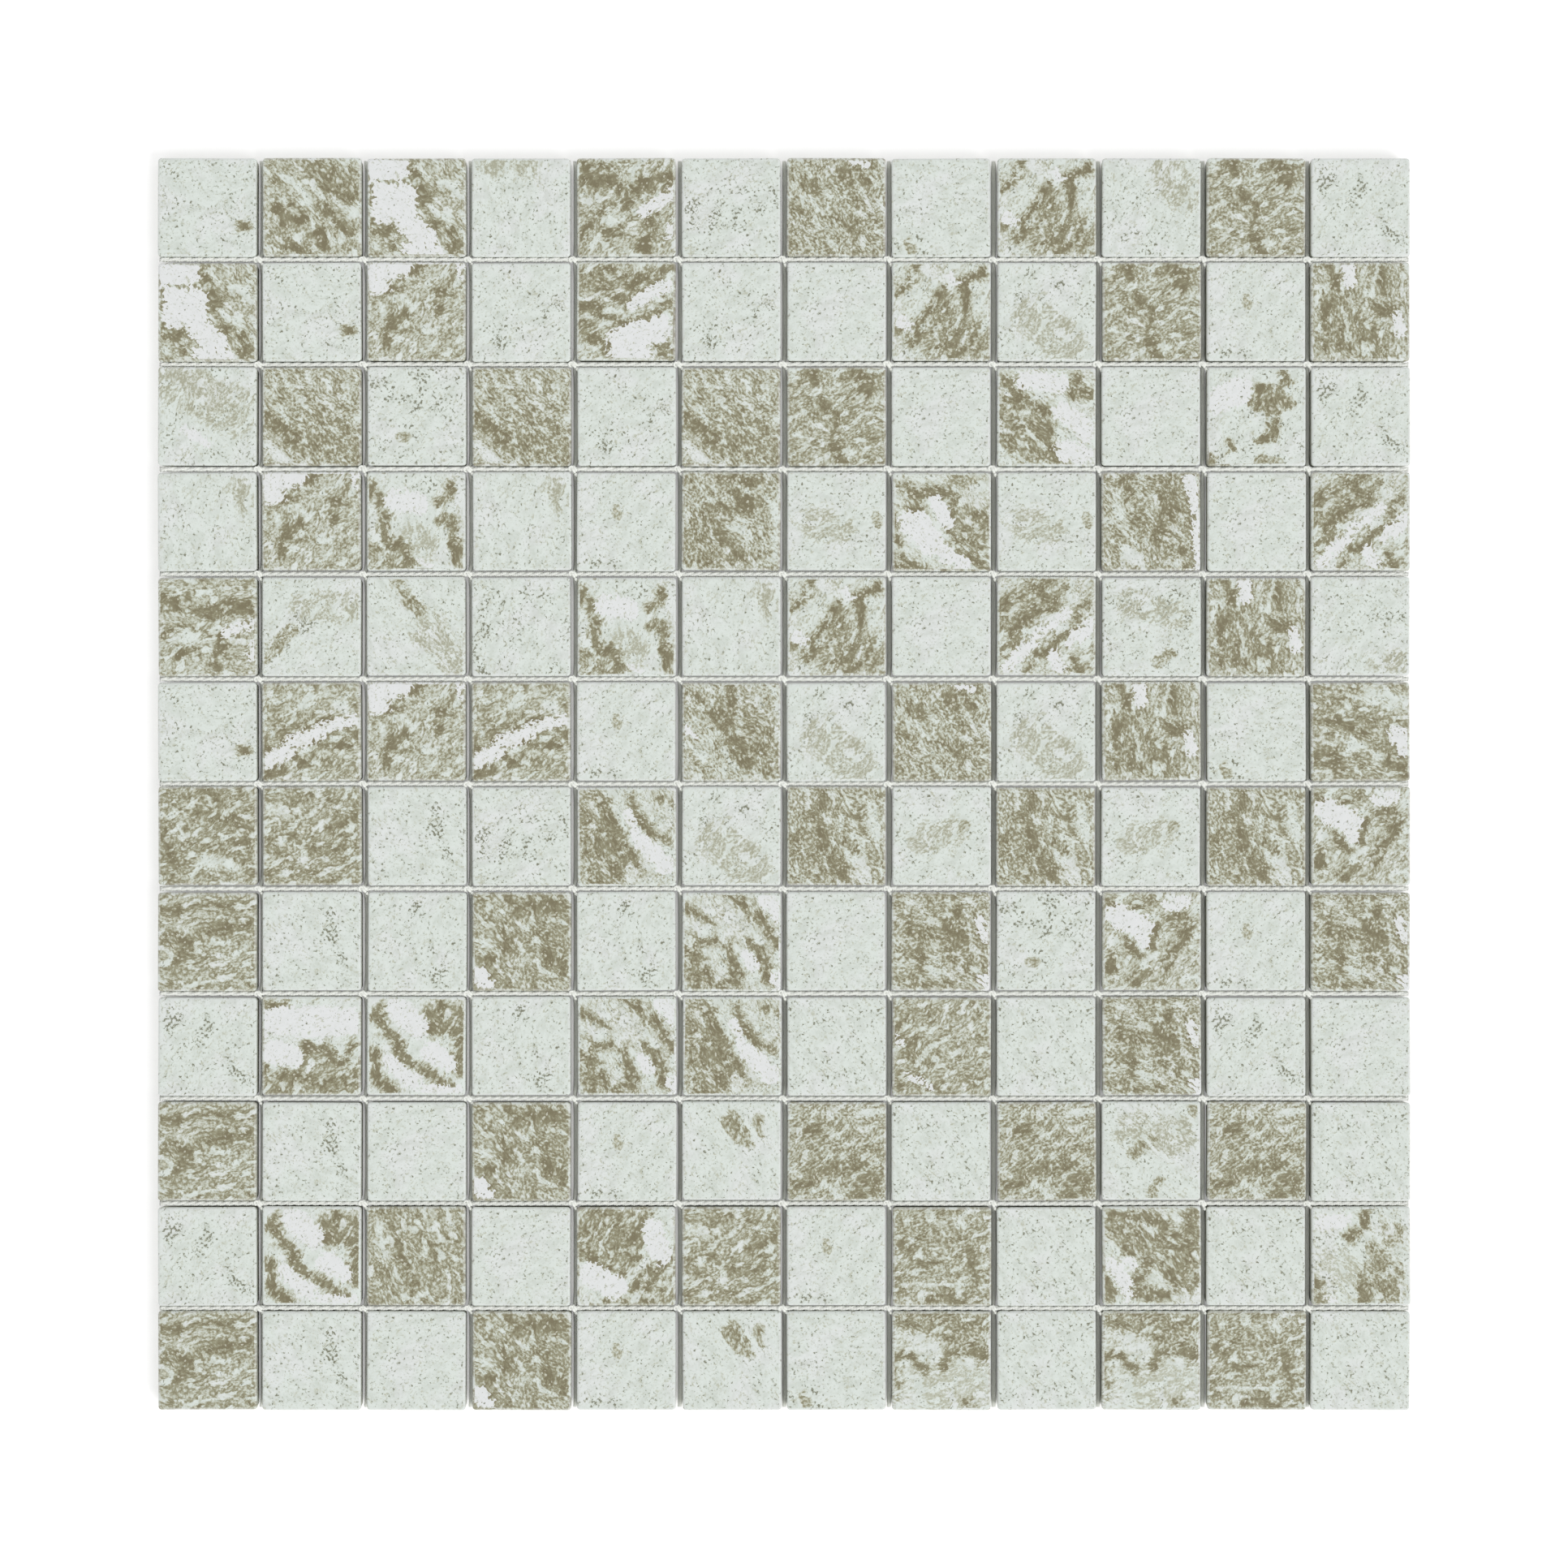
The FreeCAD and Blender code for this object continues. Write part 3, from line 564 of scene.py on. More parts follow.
class Look:
    """A material and short calls for the kinds of node that the finishes here are made of."""

    def __init__(self, name):
        self.material = bpy.data.materials.new(name)
        self.material.use_nodes = True
        self.tree = self.material.node_tree
        self.shader = self.tree.nodes["Principled BSDF"]

    def node(self, kind, **choices):
        made = self.tree.nodes.new(kind)
        for choice, value in choices.items():
            setattr(made, choice, value)
        return made

    def feed(self, socket, value):
        if isinstance(value, bpy.types.NodeSocket):
            self.tree.links.new(value, socket)
        elif socket.type == "RGBA":
            socket.default_value = (*value, 1.0)
        else:
            socket.default_value = value

    def attribute(self, name):
        return self.node("ShaderNodeAttribute", attribute_name=name).outputs["Fac"]

    def maths(self, operation, *values, clamp=False):
        made = self.node("ShaderNodeMath", operation=operation, use_clamp=clamp)
        for socket, value in zip(made.inputs, values):
            self.feed(socket, value)
        return made.outputs["Value"]

    def vector_maths(self, operation, *values):
        made = self.node("ShaderNodeVectorMath", operation=operation)
        for socket, value in zip(made.inputs, values):
            self.feed(socket, value)
        return made.outputs["Vector"]

    def noise(self, vector, scale, detail=3.0, roughness=0.5, distortion=0.0, output="Fac"):
        made = self.node("ShaderNodeTexNoise", noise_dimensions="3D")
        self.feed(made.inputs["Vector"], vector)
        self.feed(made.inputs["Scale"], scale)
        self.feed(made.inputs["Detail"], detail)
        self.feed(made.inputs["Roughness"], roughness)
        self.feed(made.inputs["Distortion"], distortion)
        return made.outputs[output]

    def fade(self, value, start, end, low=0.0, high=1.0):
        """From low to high, softly, as the value goes from start to end."""
        made = self.node("ShaderNodeMapRange", interpolation_type="SMOOTHSTEP")
        for socket, number in zip(made.inputs, (value, start, end, low, high)):
            self.feed(socket, number)
        return made.outputs["Result"]

    def mix(self, share, below, above):
        made = self.node("ShaderNodeMix", data_type="RGBA")
        self.feed(made.inputs["Factor"], share)
        self.feed(made.inputs[6], below)
        self.feed(made.inputs[7], above)
        return made.outputs[2]

    def bump(self, height, distance, strength=1.0):
        made = self.node("ShaderNodeBump")
        self.feed(made.inputs["Strength"], strength)
        self.feed(made.inputs["Distance"], distance)
        self.feed(made.inputs["Height"], height)
        self.feed(self.shader.inputs["Normal"], made.outputs["Normal"])


def specks(look, place, size, share, radius):
    """Irregular specks, one to a cell at most: size is a cell in millimetres, share how many hold one."""
    rough = look.noise(place, 2.1, 2.0, output="Color")
    rough = look.vector_maths("SUBTRACT", rough, (0.5, 0.5, 0.5))
    place = look.vector_maths("ADD", place, look.vector_maths("MULTIPLY", rough, (0.8, 0.8, 0.0)))
    cells = look.node("ShaderNodeTexVoronoi", voronoi_dimensions="2D", feature="F1")
    look.feed(cells.inputs["Vector"], place)
    look.feed(cells.inputs["Scale"], 1 / size)
    draw = look.node("ShaderNodeSeparateColor")
    look.feed(draw.inputs["Color"], cells.outputs["Color"])
    large = look.maths("MULTIPLY_ADD", draw.outputs["Green"], radius, 0.4 * radius)
    spot = look.fade(look.maths("SUBTRACT", large, cells.outputs["Distance"]), -0.05, 0.05)
    held = look.fade(look.maths("SUBTRACT", share, draw.outputs["Red"]), -0.01, 0.01)
    return look.maths("MULTIPLY", spot, held)


def printed_look(tiles):
    """Satin printed face: pale ground, granular brown mottle that flows, specks, tan clouds and a painted
    highlight over the rolled edge.
    """
    look = Look("printed_stone_face")
    place = look.node("ShaderNodeUVMap", uv_map="Print").outputs["UV"]

    # The print's coordinates are millimetres, along and across the grain, bent a little all over.
    bend = look.noise(place, 0.11, 1.0, output="Color")
    bend = look.vector_maths("SUBTRACT", bend, (0.5, 0.5, 0.5))
    bend = look.vector_maths("MULTIPLY", bend, (4.0, 4.0, 0.0))
    bent = look.vector_maths("ADD", place, bend)

    # The mottle is grit and veins that wind along the flow, with drifts a few millimetres wide.
    grit = look.attribute("grit")
    grain = look.noise(look.vector_maths("MULTIPLY", bent, (0.85, 1.0, 1.0)), 1.5, 2.0, 0.6)
    wind = look.noise(look.vector_maths("MULTIPLY", bent, (0.6, 1.0, 1.0)), 0.5, 4.0, 0.5)
    vein = look.fade(look.maths("ABSOLUTE", look.maths("SUBTRACT", wind, 0.5)), 0.0, 0.1, 1.0, 0.0)
    drifts = look.noise(bent, 0.3, 3.0, 0.6)
    coarse = look.maths("MULTIPLY_ADD", grit, 6.0, 8.0)
    mottle = look.maths("MULTIPLY", look.maths("SUBTRACT", grain, 0.5), coarse)
    smooth = look.maths("MULTIPLY_ADD", grit, -1.2, 2.4)
    mottle = look.maths("ADD", mottle, look.maths("MULTIPLY", look.maths("SUBTRACT", vein, 0.4), smooth))
    mottle = look.maths("ADD", mottle, look.maths("MULTIPLY_ADD", wind, 9.0, -4.5))
    mottle = look.maths("ADD", mottle, look.maths("MULTIPLY_ADD", drifts, 6.0, -3.0))

    # Crisp edges bulge in lobes a millimetre or two wide, and are a little ragged.
    bulge = look.maths("ABSOLUTE", look.maths("SUBTRACT", look.noise(bent, 0.5, 2.0, 0.5), 0.5))
    lobes = look.maths("MULTIPLY_ADD", bulge, 9.0, -0.7)
    ragged = look.maths("MULTIPLY_ADD", grain, 2.4, -1.2)
    clear = look.maths("ADD", look.maths("ADD", look.attribute("clear"), lobes), ragged)
    inside = look.fade(clear, 0.12, -0.12)
    solid = look.maths("SUBTRACT", look.attribute("solid"), look.maths("MULTIPLY_ADD", lobes, 0.8, 0.5))
    solid = look.maths("ADD", solid, ragged)
    lobe = look.maths("MULTIPLY", look.fade(solid, 0.2, -0.2), look.fade(clear, -0.25, 0.1))
    fringe = look.fade(solid, 1.6, 0.0)

    # How brown a point is, from 0 to 1, before and after the mottle breaks it up.
    brown = look.attribute("brown")
    rim = look.maths("MULTIPLY", look.fade(clear, 1.2, 0.2), look.fade(brown, 0.1, 0.4))
    dense = look.maths("MULTIPLY_ADD", rim, 0.4, brown)
    dense = look.maths("MULTIPLY_ADD", fringe, 0.12, dense)
    bias = look.maths("MULTIPLY_ADD", dense, 2.4, -1.0)
    bias = look.maths("ADD", bias, look.fade(dense, 0.0, 0.14, -3.5, 0.0))
    bias = look.maths("MULTIPLY_ADD", inside, -6.0, bias)
    bias = look.maths("MAXIMUM", bias, look.fade(lobe, 0.0, 1.0, -6.0, 2.2))
    covered = look.maths("ADD", mottle, bias)

    # Pale ground, greener or whiter from place to place, faintly streaked along the grain.
    clouds = look.noise(place, 0.09, 3.0, 0.55)
    whiter = look.maths("MAXIMUM", inside, look.fade(clouds, 0.45, 0.65, 0.0, 0.6))
    ground = look.mix(whiter, tuple(tiles.sage_white), tuple(tiles.lilac_white))
    streaks = look.noise(look.vector_maths("MULTIPLY", bent, (0.7, 1.1, 1.0)), 0.36, 3.0, 0.55)
    sparing = look.maths("MULTIPLY_ADD", inside, -0.7, 1.0)
    veiled = look.maths("MULTIPLY", look.fade(streaks, 0.4, 0.72, 0.0, 0.24), sparing)
    ground = look.mix(veiled, ground, tuple(tiles.sage))

    # Short specks on the ground, thick where the design gathers them.
    thick = look.fade(look.noise(place, 0.24, 2.0), 0.38, 0.66, 0.0, 1.9)
    many = look.maths("MULTIPLY", look.maths("MINIMUM", look.attribute("fleck"), 1.0), thick)
    many = look.maths("MULTIPLY", many, sparing)
    fine = look.noise(place, 1.3, 3.0, 0.55, 0.3)
    fine = look.maths("ADD", fine, look.maths("MULTIPLY_ADD", many, 0.075, -0.665))
    veiled = look.maths("MULTIPLY", look.fade(fine, -0.2, 0.05, 0.0, 0.2), sparing)
    ground = look.mix(veiled, ground, tuple(tiles.sage))
    ground = look.mix(look.fade(fine, -0.05, 0.02, 0.0, 0.7), ground, tuple(tiles.sage))
    ground = look.mix(look.fade(fine, 0.0, 0.05, 0.0, 0.8), ground, tuple(tiles.speck))

    # Tan clouds are the mottle's palest part.
    cloud = look.maths("MULTIPLY_ADD", look.attribute("tan"), 2.4, look.maths("ADD", mottle, -1.9))
    ground = look.mix(look.fade(cloud, -0.8, 1.2, 0.0, 0.8), ground, tuple(tiles.tan))
    ground = look.mix(look.fade(cloud, 0.8, 2.6, 0.0, 0.7), ground, tuple(tiles.brown))

    shown = look.mix(look.fade(covered, -2.7, 0.2, 0.0, 0.9), ground, tuple(tiles.tan))
    shown = look.mix(look.fade(covered, -0.7, 1.4), shown, tuple(tiles.brown))
    deep = look.maths("MULTIPLY", look.fade(covered, 0.9, 3.2), look.fade(drifts, 0.35, 0.6, 0.6, 1.0))
    shown = look.mix(deep, shown, tuple(tiles.umber))

    # Pale crumbs lie in the brown.
    crumbs = specks(look, bent, 1.1, look.fade(covered, -0.5, 0.8, 0.0, 0.3), 0.24)
    shown = look.mix(look.maths("MULTIPLY", crumbs, 0.6), shown, tuple(tiles.crumb))

    # Painted highlight: the print is paled towards lilac white in streaks over the rolled edge, all round the
    # tile.
    painted_edge_highlight = look.maths("MULTIPLY", look.attribute("edge"), look.fade(streaks, 0.4, 0.6, 0.1, 0.4))
    shown = look.mix(painted_edge_highlight, shown, tuple(tiles.lilac_white))
    look.feed(look.shader.inputs["Base Color"], shown)

    rough = look.fade(covered, -0.5, 1.0, 0.36, 0.5)
    look.feed(look.shader.inputs["Roughness"], rough)
    look.feed(look.shader.inputs["Specular IOR Level"], 0.35)

    relief = look.maths("MULTIPLY_ADD", look.fade(covered, -0.5, 1.0), -0.3, grain)
    relief = look.maths("MULTIPLY_ADD", look.attribute("ridge"), 4.0, relief)
    look.bump(relief, 0.03 * MM)
    return look.material


def body_look(tiles):
    """Dry pressed clay on the sides and the back, with pores and a faint dusting."""
    look = Look("unglazed_tile_body")
    place = look.node("ShaderNodeTexCoord").outputs["Object"]
    cloud = look.noise(place, 180.0, 4.0, 0.6)
    pores = look.fade(look.noise(place, 2600.0, 2.0, 0.5), 0.60, 0.72)
    shade = tuple(part * 0.80 for part in tiles.body)
    shown = look.mix(look.fade(cloud, 0.35, 0.7, 0.0, 0.55), tuple(tiles.body), shade)
    shown = look.mix(look.maths("MULTIPLY", pores, 0.6), shown, tuple(part * 0.6 for part in tiles.body))
    look.feed(look.shader.inputs["Base Color"], shown)
    look.feed(look.shader.inputs["Roughness"], look.fade(cloud, 0.3, 0.7, 0.78, 0.92))
    look.feed(look.shader.inputs["Specular IOR Level"], 0.25)
    look.bump(look.maths("SUBTRACT", cloud, pores), 0.05 * MM)
    return look.material


def yarn_look(net):
    """Bleached yarn: soft fibres laid along each ply."""
    look = Look("bleached_yarn")
    place = look.node("ShaderNodeTexCoord").outputs["Object"]
    fibre = look.noise(look.vector_maths("MULTIPLY", place, (0.35, 1.0, 1.0)), 5200.0, 3.0, 0.6)
    wear = look.noise(place, 140.0, 3.0, 0.5)
    shade = tuple(part * 0.86 for part in net.white)
    shown = look.mix(look.fade(fibre, 0.35, 0.7, 0.0, 0.7), tuple(net.white), shade)
    shown = look.mix(look.fade(wear, 0.45, 0.7, 0.0, 0.3), shown, shade)
    look.feed(look.shader.inputs["Base Color"], shown)
    look.feed(look.shader.inputs["Roughness"], look.fade(fibre, 0.3, 0.7, 0.72, 0.9))
    look.feed(look.shader.inputs["Sheen Weight"], 0.25)
    look.bump(fibre, 0.06 * MM)
    return look.material


def shared(name, make, choices):
    """The material of this name, made the first time that a piece asks for it."""
    return bpy.data.materials.get(name) or make(choices)


def new_piece(name, bm, *materials):
    """A finished piece at the origin from a bmesh, with its materials."""
    mesh = bpy.data.meshes.new(name)
    bm.to_mesh(mesh)
    bm.free()
    for material in materials:
        mesh.materials.append(material)
    piece = bpy.data.objects.new(name, mesh)
    bpy.context.scene.collection.objects.link(piece)
    return piece


def whole(bm):
    return bm.verts[:] + bm.edges[:] + bm.faces[:]


def blank_tile(tiles):
    """One tile before it is printed: leaning sides, rolled edge and a face cut into small squares."""
    bm = bmesh.new()
    bmesh.ops.create_cube(bm, size=1.0)
    bmesh.ops.scale(bm, vec=(TILE_SIDE, TILE_SIDE, TILE_THICKNESS), verts=bm.verts)
    bmesh.ops.translate(bm, vec=(0.0, 0.0, TILE_THICKNESS / 2), verts=bm.verts)

    uprights = [edge for edge in bm.edges if edge.verts[0].co.xy == edge.verts[1].co.xy]
    bmesh.ops.bevel(
        bm,
        geom=uprights,
        affect="EDGES",
        offset=tiles.corner_round,
        segments=3,
        profile=0.5,
        material=-1,
    )
    foot = [vert for vert in bm.verts if vert.co.z < TILE_THICKNESS / 2]
    shrink = 1 - 2 * TILE_THICKNESS * math.tan(tiles.lean) / TILE_SIDE
    bmesh.ops.scale(bm, vec=(shrink, shrink, 1.0), verts=foot)
    rim = [edge for edge in bm.edges if all(vert.co.z > TILE_THICKNESS - NEAR for vert in edge.verts)]
    bmesh.ops.bevel(
        bm,
        geom=rim,
        affect="EDGES",
        offset=tiles.edge_roll,
        segments=4,
        profile=0.5,
        material=-1,
    )

    flat = TILE_SIDE - 2 * tiles.edge_roll
    steps = round(flat / tiles.print_step)
    for direction in (Vector((1.0, 0.0, 0.0)), Vector((0.0, 1.0, 0.0))):
        for step in range(1, steps):
            face = [f for f in bm.faces if all(v.co.z > TILE_THICKNESS - NEAR for v in f.verts)]
            parts = {part for f in face for part in (f, *f.edges, *f.verts)}
            bmesh.ops.bisect_plane(
                bm,
                geom=list(parts),
                dist=NEAR / 10,
                plane_co=direction * (step / steps - 0.5) * flat,
                plane_no=direction,
            )
    for face in bm.faces:
        face.smooth = True
        low = min(vert.co.z for vert in face.verts)
        face.material_index = 0 if low > TILE_THICKNESS - tiles.edge_roll - NEAR else 1
    for kind in MARKS:
        bm.verts.layers.float.new(kind)
    bm.loops.layers.uv.new("Print")
    lay_bake_map(bm, tiles)
    return bm


def lay_bake_map(bm, tiles):
    """Lay a tile out flat in the first cell of its piece's bake map: face, four sides and back."""
    bake = bm.loops.layers.uv.new("OFBake")
    middle_of_face = Vector((0.125, 0.124))
    face_scale = 0.1165 / (TILE_SIDE / 2 * 1.05)
    side_scale = Vector((0.112 / TILE_SIDE, 0.021 / TILE_THICKNESS))
    back_scale = Vector((0.226 / TILE_SIDE, 0.026 / TILE_SIDE))
    for face in bm.faces:
        normal = face.normal
        for loop in face.loops:
            at = loop.vert.co
            if face.material_index == 0:
                depth = (TILE_THICKNESS - at.z) / tiles.edge_roll
                place = at.xy * (1 + 0.05 * depth) * face_scale + middle_of_face
            elif normal.z < -0.5:
                place = at.xy * back_scale + Vector((0.125, 0.318))
            else:
                across = abs(normal.x) > abs(normal.y)
                along = at.y if across else at.x
                far = (normal.x if across else normal.y) > 0
                place = Vector((along, at.z)) * side_scale
                place += Vector((0.066 + 0.120 * far, 0.246 + 0.0265 * across))
            loop[bake].uv = place


def reach_of(x, y, x_start, y_start, x_end, y_end):
    """How far a point of a tile is from a stroke, in halves of a tile."""
    x_run = x_end - x_start
    y_run = y_end - y_start
    share = ((x - x_start) * x_run + (y - y_start) * y_run) / (x_run**2 + y_run**2 or 1.0)
    share = min(max(share, 0.0), 1.0)
    return math.hypot(x - x_start - share * x_run, y - y_start - share * y_run)


def print_at(chosen, seed, x, y):
    """How strongly each kind of mark shows at a point of a tile, and how far crisp edges are."""
    sway = noise.noise_vector(Vector((x * 2.0 + seed, y * 2.0, seed)))
    x += SWAY * sway.x
    y += SWAY * sway.y
    shown = dict.fromkeys(MARKS, 0.0)
    for kind in ("brown", "fleck", "grit"):
        shown[kind] = chosen[kind]
    shown["solid"] = shown["clear"] = FAR
    for kind, strokes in chosen["strokes"].items():
        for *stroke, reach in strokes:
            away = reach_of(x, y, *stroke) - reach
            if kind in ("solid", "clear"):
                shown[kind] = min(shown[kind], away)
                continue
            share = min(max((SOFT - away) / (2 * SOFT), 0.0), 1.0)
            share = share * share * (3 - 2 * share)
            if kind == "pale":
                shown["brown"] *= 1 - 0.85 * share
            elif kind == "fleck_at":
                shown["fleck"] += share
            elif kind == "brown_at":
                shown["brown"] = max(shown["brown"], DENSE * share)
            else:
                shown[kind] = max(shown[kind], share)
    shown["solid"] *= TILE_SIDE / 2 / MM
    shown["clear"] *= TILE_SIDE / 2 / MM
    return shown


def print_tile(bm, verts, faces, name):
    """Lay a design on a tile: what its points carry, and which way the grain runs over its face."""
    chosen = DESIGNS[name]
    seed = list(DESIGNS).index(name)
    layers = {kind: bm.verts.layers.float[kind] for kind in MARKS}
    for vert in verts:
        x, y = vert.co.xy / (TILE_SIDE / 2)
        for kind, amount in print_at(chosen, seed, x, y).items():
            vert[layers[kind]] = amount
        # Points on the rolled edge carry the mask for the painted highlight that the printed face's material lays
        # there.
        vert[layers["edge"]] = float(vert.co.z < TILE_THICKNESS - NEAR)
    grain = Matrix.Rotation(-math.radians(chosen["flow"]), 2)
    start = Vector((seed * 41.0, seed * 67.0))
    layer = bm.loops.layers.uv["Print"]
    for face in faces:
        for loop in face.loops:
            loop[layer].uv = grain @ (loop.vert.co.xy / MM) + start


def dip_face(verts, seed, tiles):
    """Let the pressed face dip a little below its highest points."""
    for vert in verts:
        if vert.co.z > TILE_THICKNESS - NEAR:
            x, y = vert.co.xy / TILE_SIDE
            wave = noise.noise(Vector((x * 3.1 + seed, y * 3.1, seed)))
            vert.co.z -= tiles.dip * (0.5 + 0.5 * wave)


def slipped(dice, place, count, tiles):
    """How far off the grid a tile lies, never out over the sheet's edge."""
    off = dice.uniform(-tiles.slip, tiles.slip)
    inward = abs(off) + TILE_SIDE / 2 * math.sin(tiles.turn)
    if place == 0:
        return inward
    return -inward if place == count - 1 else off


def make_row(row, blank, tiles):
    """One row of printed tiles, each a hair out of line as the setting grid left it."""
    dice = random.Random(100 + row)
    bm = bmesh.new()
    bm.from_mesh(blank)
    first = whole(bm)
    copies = [first] + [bmesh.ops.duplicate(bm, geom=first)["geom"] for _ in range(COLUMNS - 1)]
    bake = bm.loops.layers.uv["OFBake"]
    designs = LAYOUT.split()[row * COLUMNS : (row + 1) * COLUMNS]
    for column, (copy, design) in enumerate(zip(copies, designs)):
        verts = [part for part in copy if isinstance(part, bmesh.types.BMVert)]
        faces = [part for part in copy if isinstance(part, bmesh.types.BMFace)]
        print_tile(bm, verts, faces, design)
        cell = Vector((column % 4 / 4, column // 4 / 3))
        for face in faces:
            for loop in face.loops:
                loop[bake].uv += cell
        dip_face(verts, row * COLUMNS + column, tiles)

        turn = dice.uniform(-tiles.turn, tiles.turn)
        bmesh.ops.rotate(bm, verts=verts, cent=(0, 0, 0), matrix=Matrix.Rotation(turn, 3, "Z"))
        place = Vector(
            (
                (column - (COLUMNS - 1) / 2) * PITCH + slipped(dice, column, COLUMNS, tiles),
                middle(ROW_NODES[row]).y - slipped(dice, row, ROWS, tiles),
                0.0,
            )
        )
        bmesh.ops.translate(bm, verts=verts, vec=place)
    return bm


def swept(ring_sides, thickness, stand, **turn):
    """A bmesh that holds one tube of yarn: a ring, stood in its place, swept, and closed at both ends."""
    tube = bmesh.new()
    ring = bmesh.ops.create_circle(
        tube, cap_ends=False, segments=ring_sides, radius=thickness, matrix=stand
    )["verts"]
    bmesh.ops.spin(
        tube, geom=ring + tube.edges[:], use_merge=False, use_duplicate=False, **turn
    )
    bmesh.ops.edgeloop_fill(tube, edges=[edge for edge in tube.edges if edge.is_boundary])
    return tube


def repeated(tube, count, step):
    """Carry a swept tube on by copies, each moved on by one more step, and weld them end to end."""
    ends = [face for face in tube.faces if len(face.verts) > 4]
    bmesh.ops.delete(tube, geom=ends, context="FACES_ONLY")
    first = whole(tube)
    for number in range(1, count):
        copy = bmesh.ops.duplicate(tube, geom=first)["geom"]
        verts = [part for part in copy if isinstance(part, bmesh.types.BMVert)]
        move = Matrix.Identity(4)
        for _ in range(number):
            move = step @ move
        bmesh.ops.transform(tube, matrix=move, verts=verts)
    bmesh.ops.remove_doubles(tube, verts=tube.verts, dist=NEAR)
    bmesh.ops.edgeloop_fill(tube, edges=[edge for edge in tube.edges if edge.is_boundary])


def join(bm, part):
    """Move what one bmesh holds into another."""
    mesh = bpy.data.meshes.new("part")
    part.to_mesh(mesh)
    part.free()
    bm.from_mesh(mesh)
    bpy.data.meshes.remove(mesh)


def smooth_and_turn_out(bm):
    bmesh.ops.recalc_face_normals(bm, faces=bm.faces)
    for face in bm.faces:
        face.smooth = True


def add_cord(bm, number, net):
    """A cord of two twisted plies, lying in the joint below the given row."""
    dice = random.Random(300 + number)
    lay = dice.uniform(net.short_lay, net.long_lay)
    across = (middle(ROW_NODES[number]).y + middle(ROW_NODES[number + 1]).y) / 2
    run = NET_HIGH.x - NET_LOW.x
    stretches = 12
    turn = -math.tau * run / lay / stretches
    steps = round(run / lay * 8 / stretches)
    onward = Matrix.Translation((run / stretches, 0, 0)) @ Matrix.Rotation(turn, 4, "X")
    start = dice.uniform(0, math.tau)
    for ply in range(2):
        angle = start + ply * math.pi
        out = Vector((0.0, math.cos(angle), math.sin(angle))) * net.ply * net.spread
        offset = Vector((NET_LOW.x, 0.0, 0.0)) + out
        tube = swept(
            6,
            net.ply,
            Matrix.Translation(offset) @ Matrix.Rotation(math.pi / 2, 4, "Y"),
            cent=(0.0, 0.0, 0.0),
            axis=(-1.0, 0.0, 0.0),
            dvec=(run / stretches / steps, 0.0, 0.0),
            angle=-turn,
            steps=steps,
        )
        repeated(tube, stretches, onward)
        unroll(tube, 2 * number + ply, angle, lay, net)
        for vert in tube.verts:
            drift = noise.noise(Vector((vert.co.x * 35.0, number * 7.3, 0.0)))
            vert.co.y += across + net.lift + net.sway * drift
            vert.co.z += CORD_HEIGHT + 0.4 * net.sway * drift
        join(bm, tube)


def unroll(tube, strip, start, lay, net):
    """Lay one ply out as a strip of the bake map: along the cord, and round the ply."""
    bake = tube.loops.layers.uv.new("OFBake")
    run = NET_HIGH.x - NET_LOW.x
    high = 1 / (2 * (ROWS - 1))
    for face in tube.faces:
        turned = []
        for loop in face.loops:
            at = loop.vert.co
            twist = start - math.tau * (at.x - NET_LOW.x) / lay
            y = at.y - math.cos(twist) * net.ply * net.spread
            z = at.z - math.sin(twist) * net.ply * net.spread
            turned.append((math.atan2(z, y) - twist) / math.tau % 1.0)
        crosses = max(turned) - min(turned) > 0.5 and len(turned) == 4
        for loop, part in zip(face.loops, turned):
            part += crosses and part < 0.25
            along = (loop.vert.co.x - NET_LOW.x) / run
            loop[bake].uv = (along, high * (strip + 0.02 + 0.8 * part))


def add_strand(bm, number, net):
    """A flat strand in an upright joint, climbing to each knot and sinking between them."""
    across = (number + 0.5 - (COLUMNS - 1) / 2) * PITCH
    run = NET_HIGH.y - NET_LOW.y
    steps = round(run / PITCH * 14)
    tube = swept(
        7,
        STRAND_HALF,
        Matrix.Translation((0, NET_LOW.y, 0)) @ Matrix.Rotation(math.pi / 2, 4, "X"),
        cent=(0.0, 0.0, 0.0),
        axis=(0.0, 1.0, 0.0),
        dvec=(0.0, run / steps, 0.0),
        angle=0.0,
        steps=steps,
    )
    for vert in tube.verts:
        x, y, z = vert.co
        from_knot = (y / PITCH + 0.5) % 1.0 - 0.5 if ROWS % 2 == 0 else y / PITCH % 1.0 - 0.5
        near = math.exp(-((from_knot * PITCH / (2.2 * MM)) ** 2))
        drift = noise.noise(Vector((y * 40.0, number * 3.1, 0.0)))
        vert.co.x = across + STRAND_SHIFT * (1 - near) + x * (1 - 0.35 * near)
        vert.co.x += net.sway * drift * 0.3
        vert.co.z = STRAND_HEIGHT + z * (0.35 + 0.55 * near) + net.rise * near
    join(bm, tube)


def add_arc(bm, bend, thickness, sweep_degrees, steps, place):
    """A short arc of yarn swept about the Z axis from +X, then put in its place."""
    arc = swept(
        5,
        thickness,
        Matrix.Translation((bend, 0, 0)) @ Matrix.Rotation(math.pi / 2, 4, "X"),
        cent=(0.0, 0.0, 0.0),
        axis=(0.0, 0.0, 1.0),
        dvec=(0.0, 0.0, 0.0),
        angle=math.radians(sweep_degrees),
        steps=steps,
    )
    bmesh.ops.transform(arc, matrix=place, verts=arc.verts)
    join(bm, arc)


def place_at(x, y, z, *turns):
    """A place in millimetres from a knot's middle, after turns in degrees about the given axes."""
    place = Matrix.Translation(Vector((x, y, z)) * MM)
    for degrees, axis in turns:
        place = place @ Matrix.Rotation(math.radians(degrees), 4, axis)
    return place


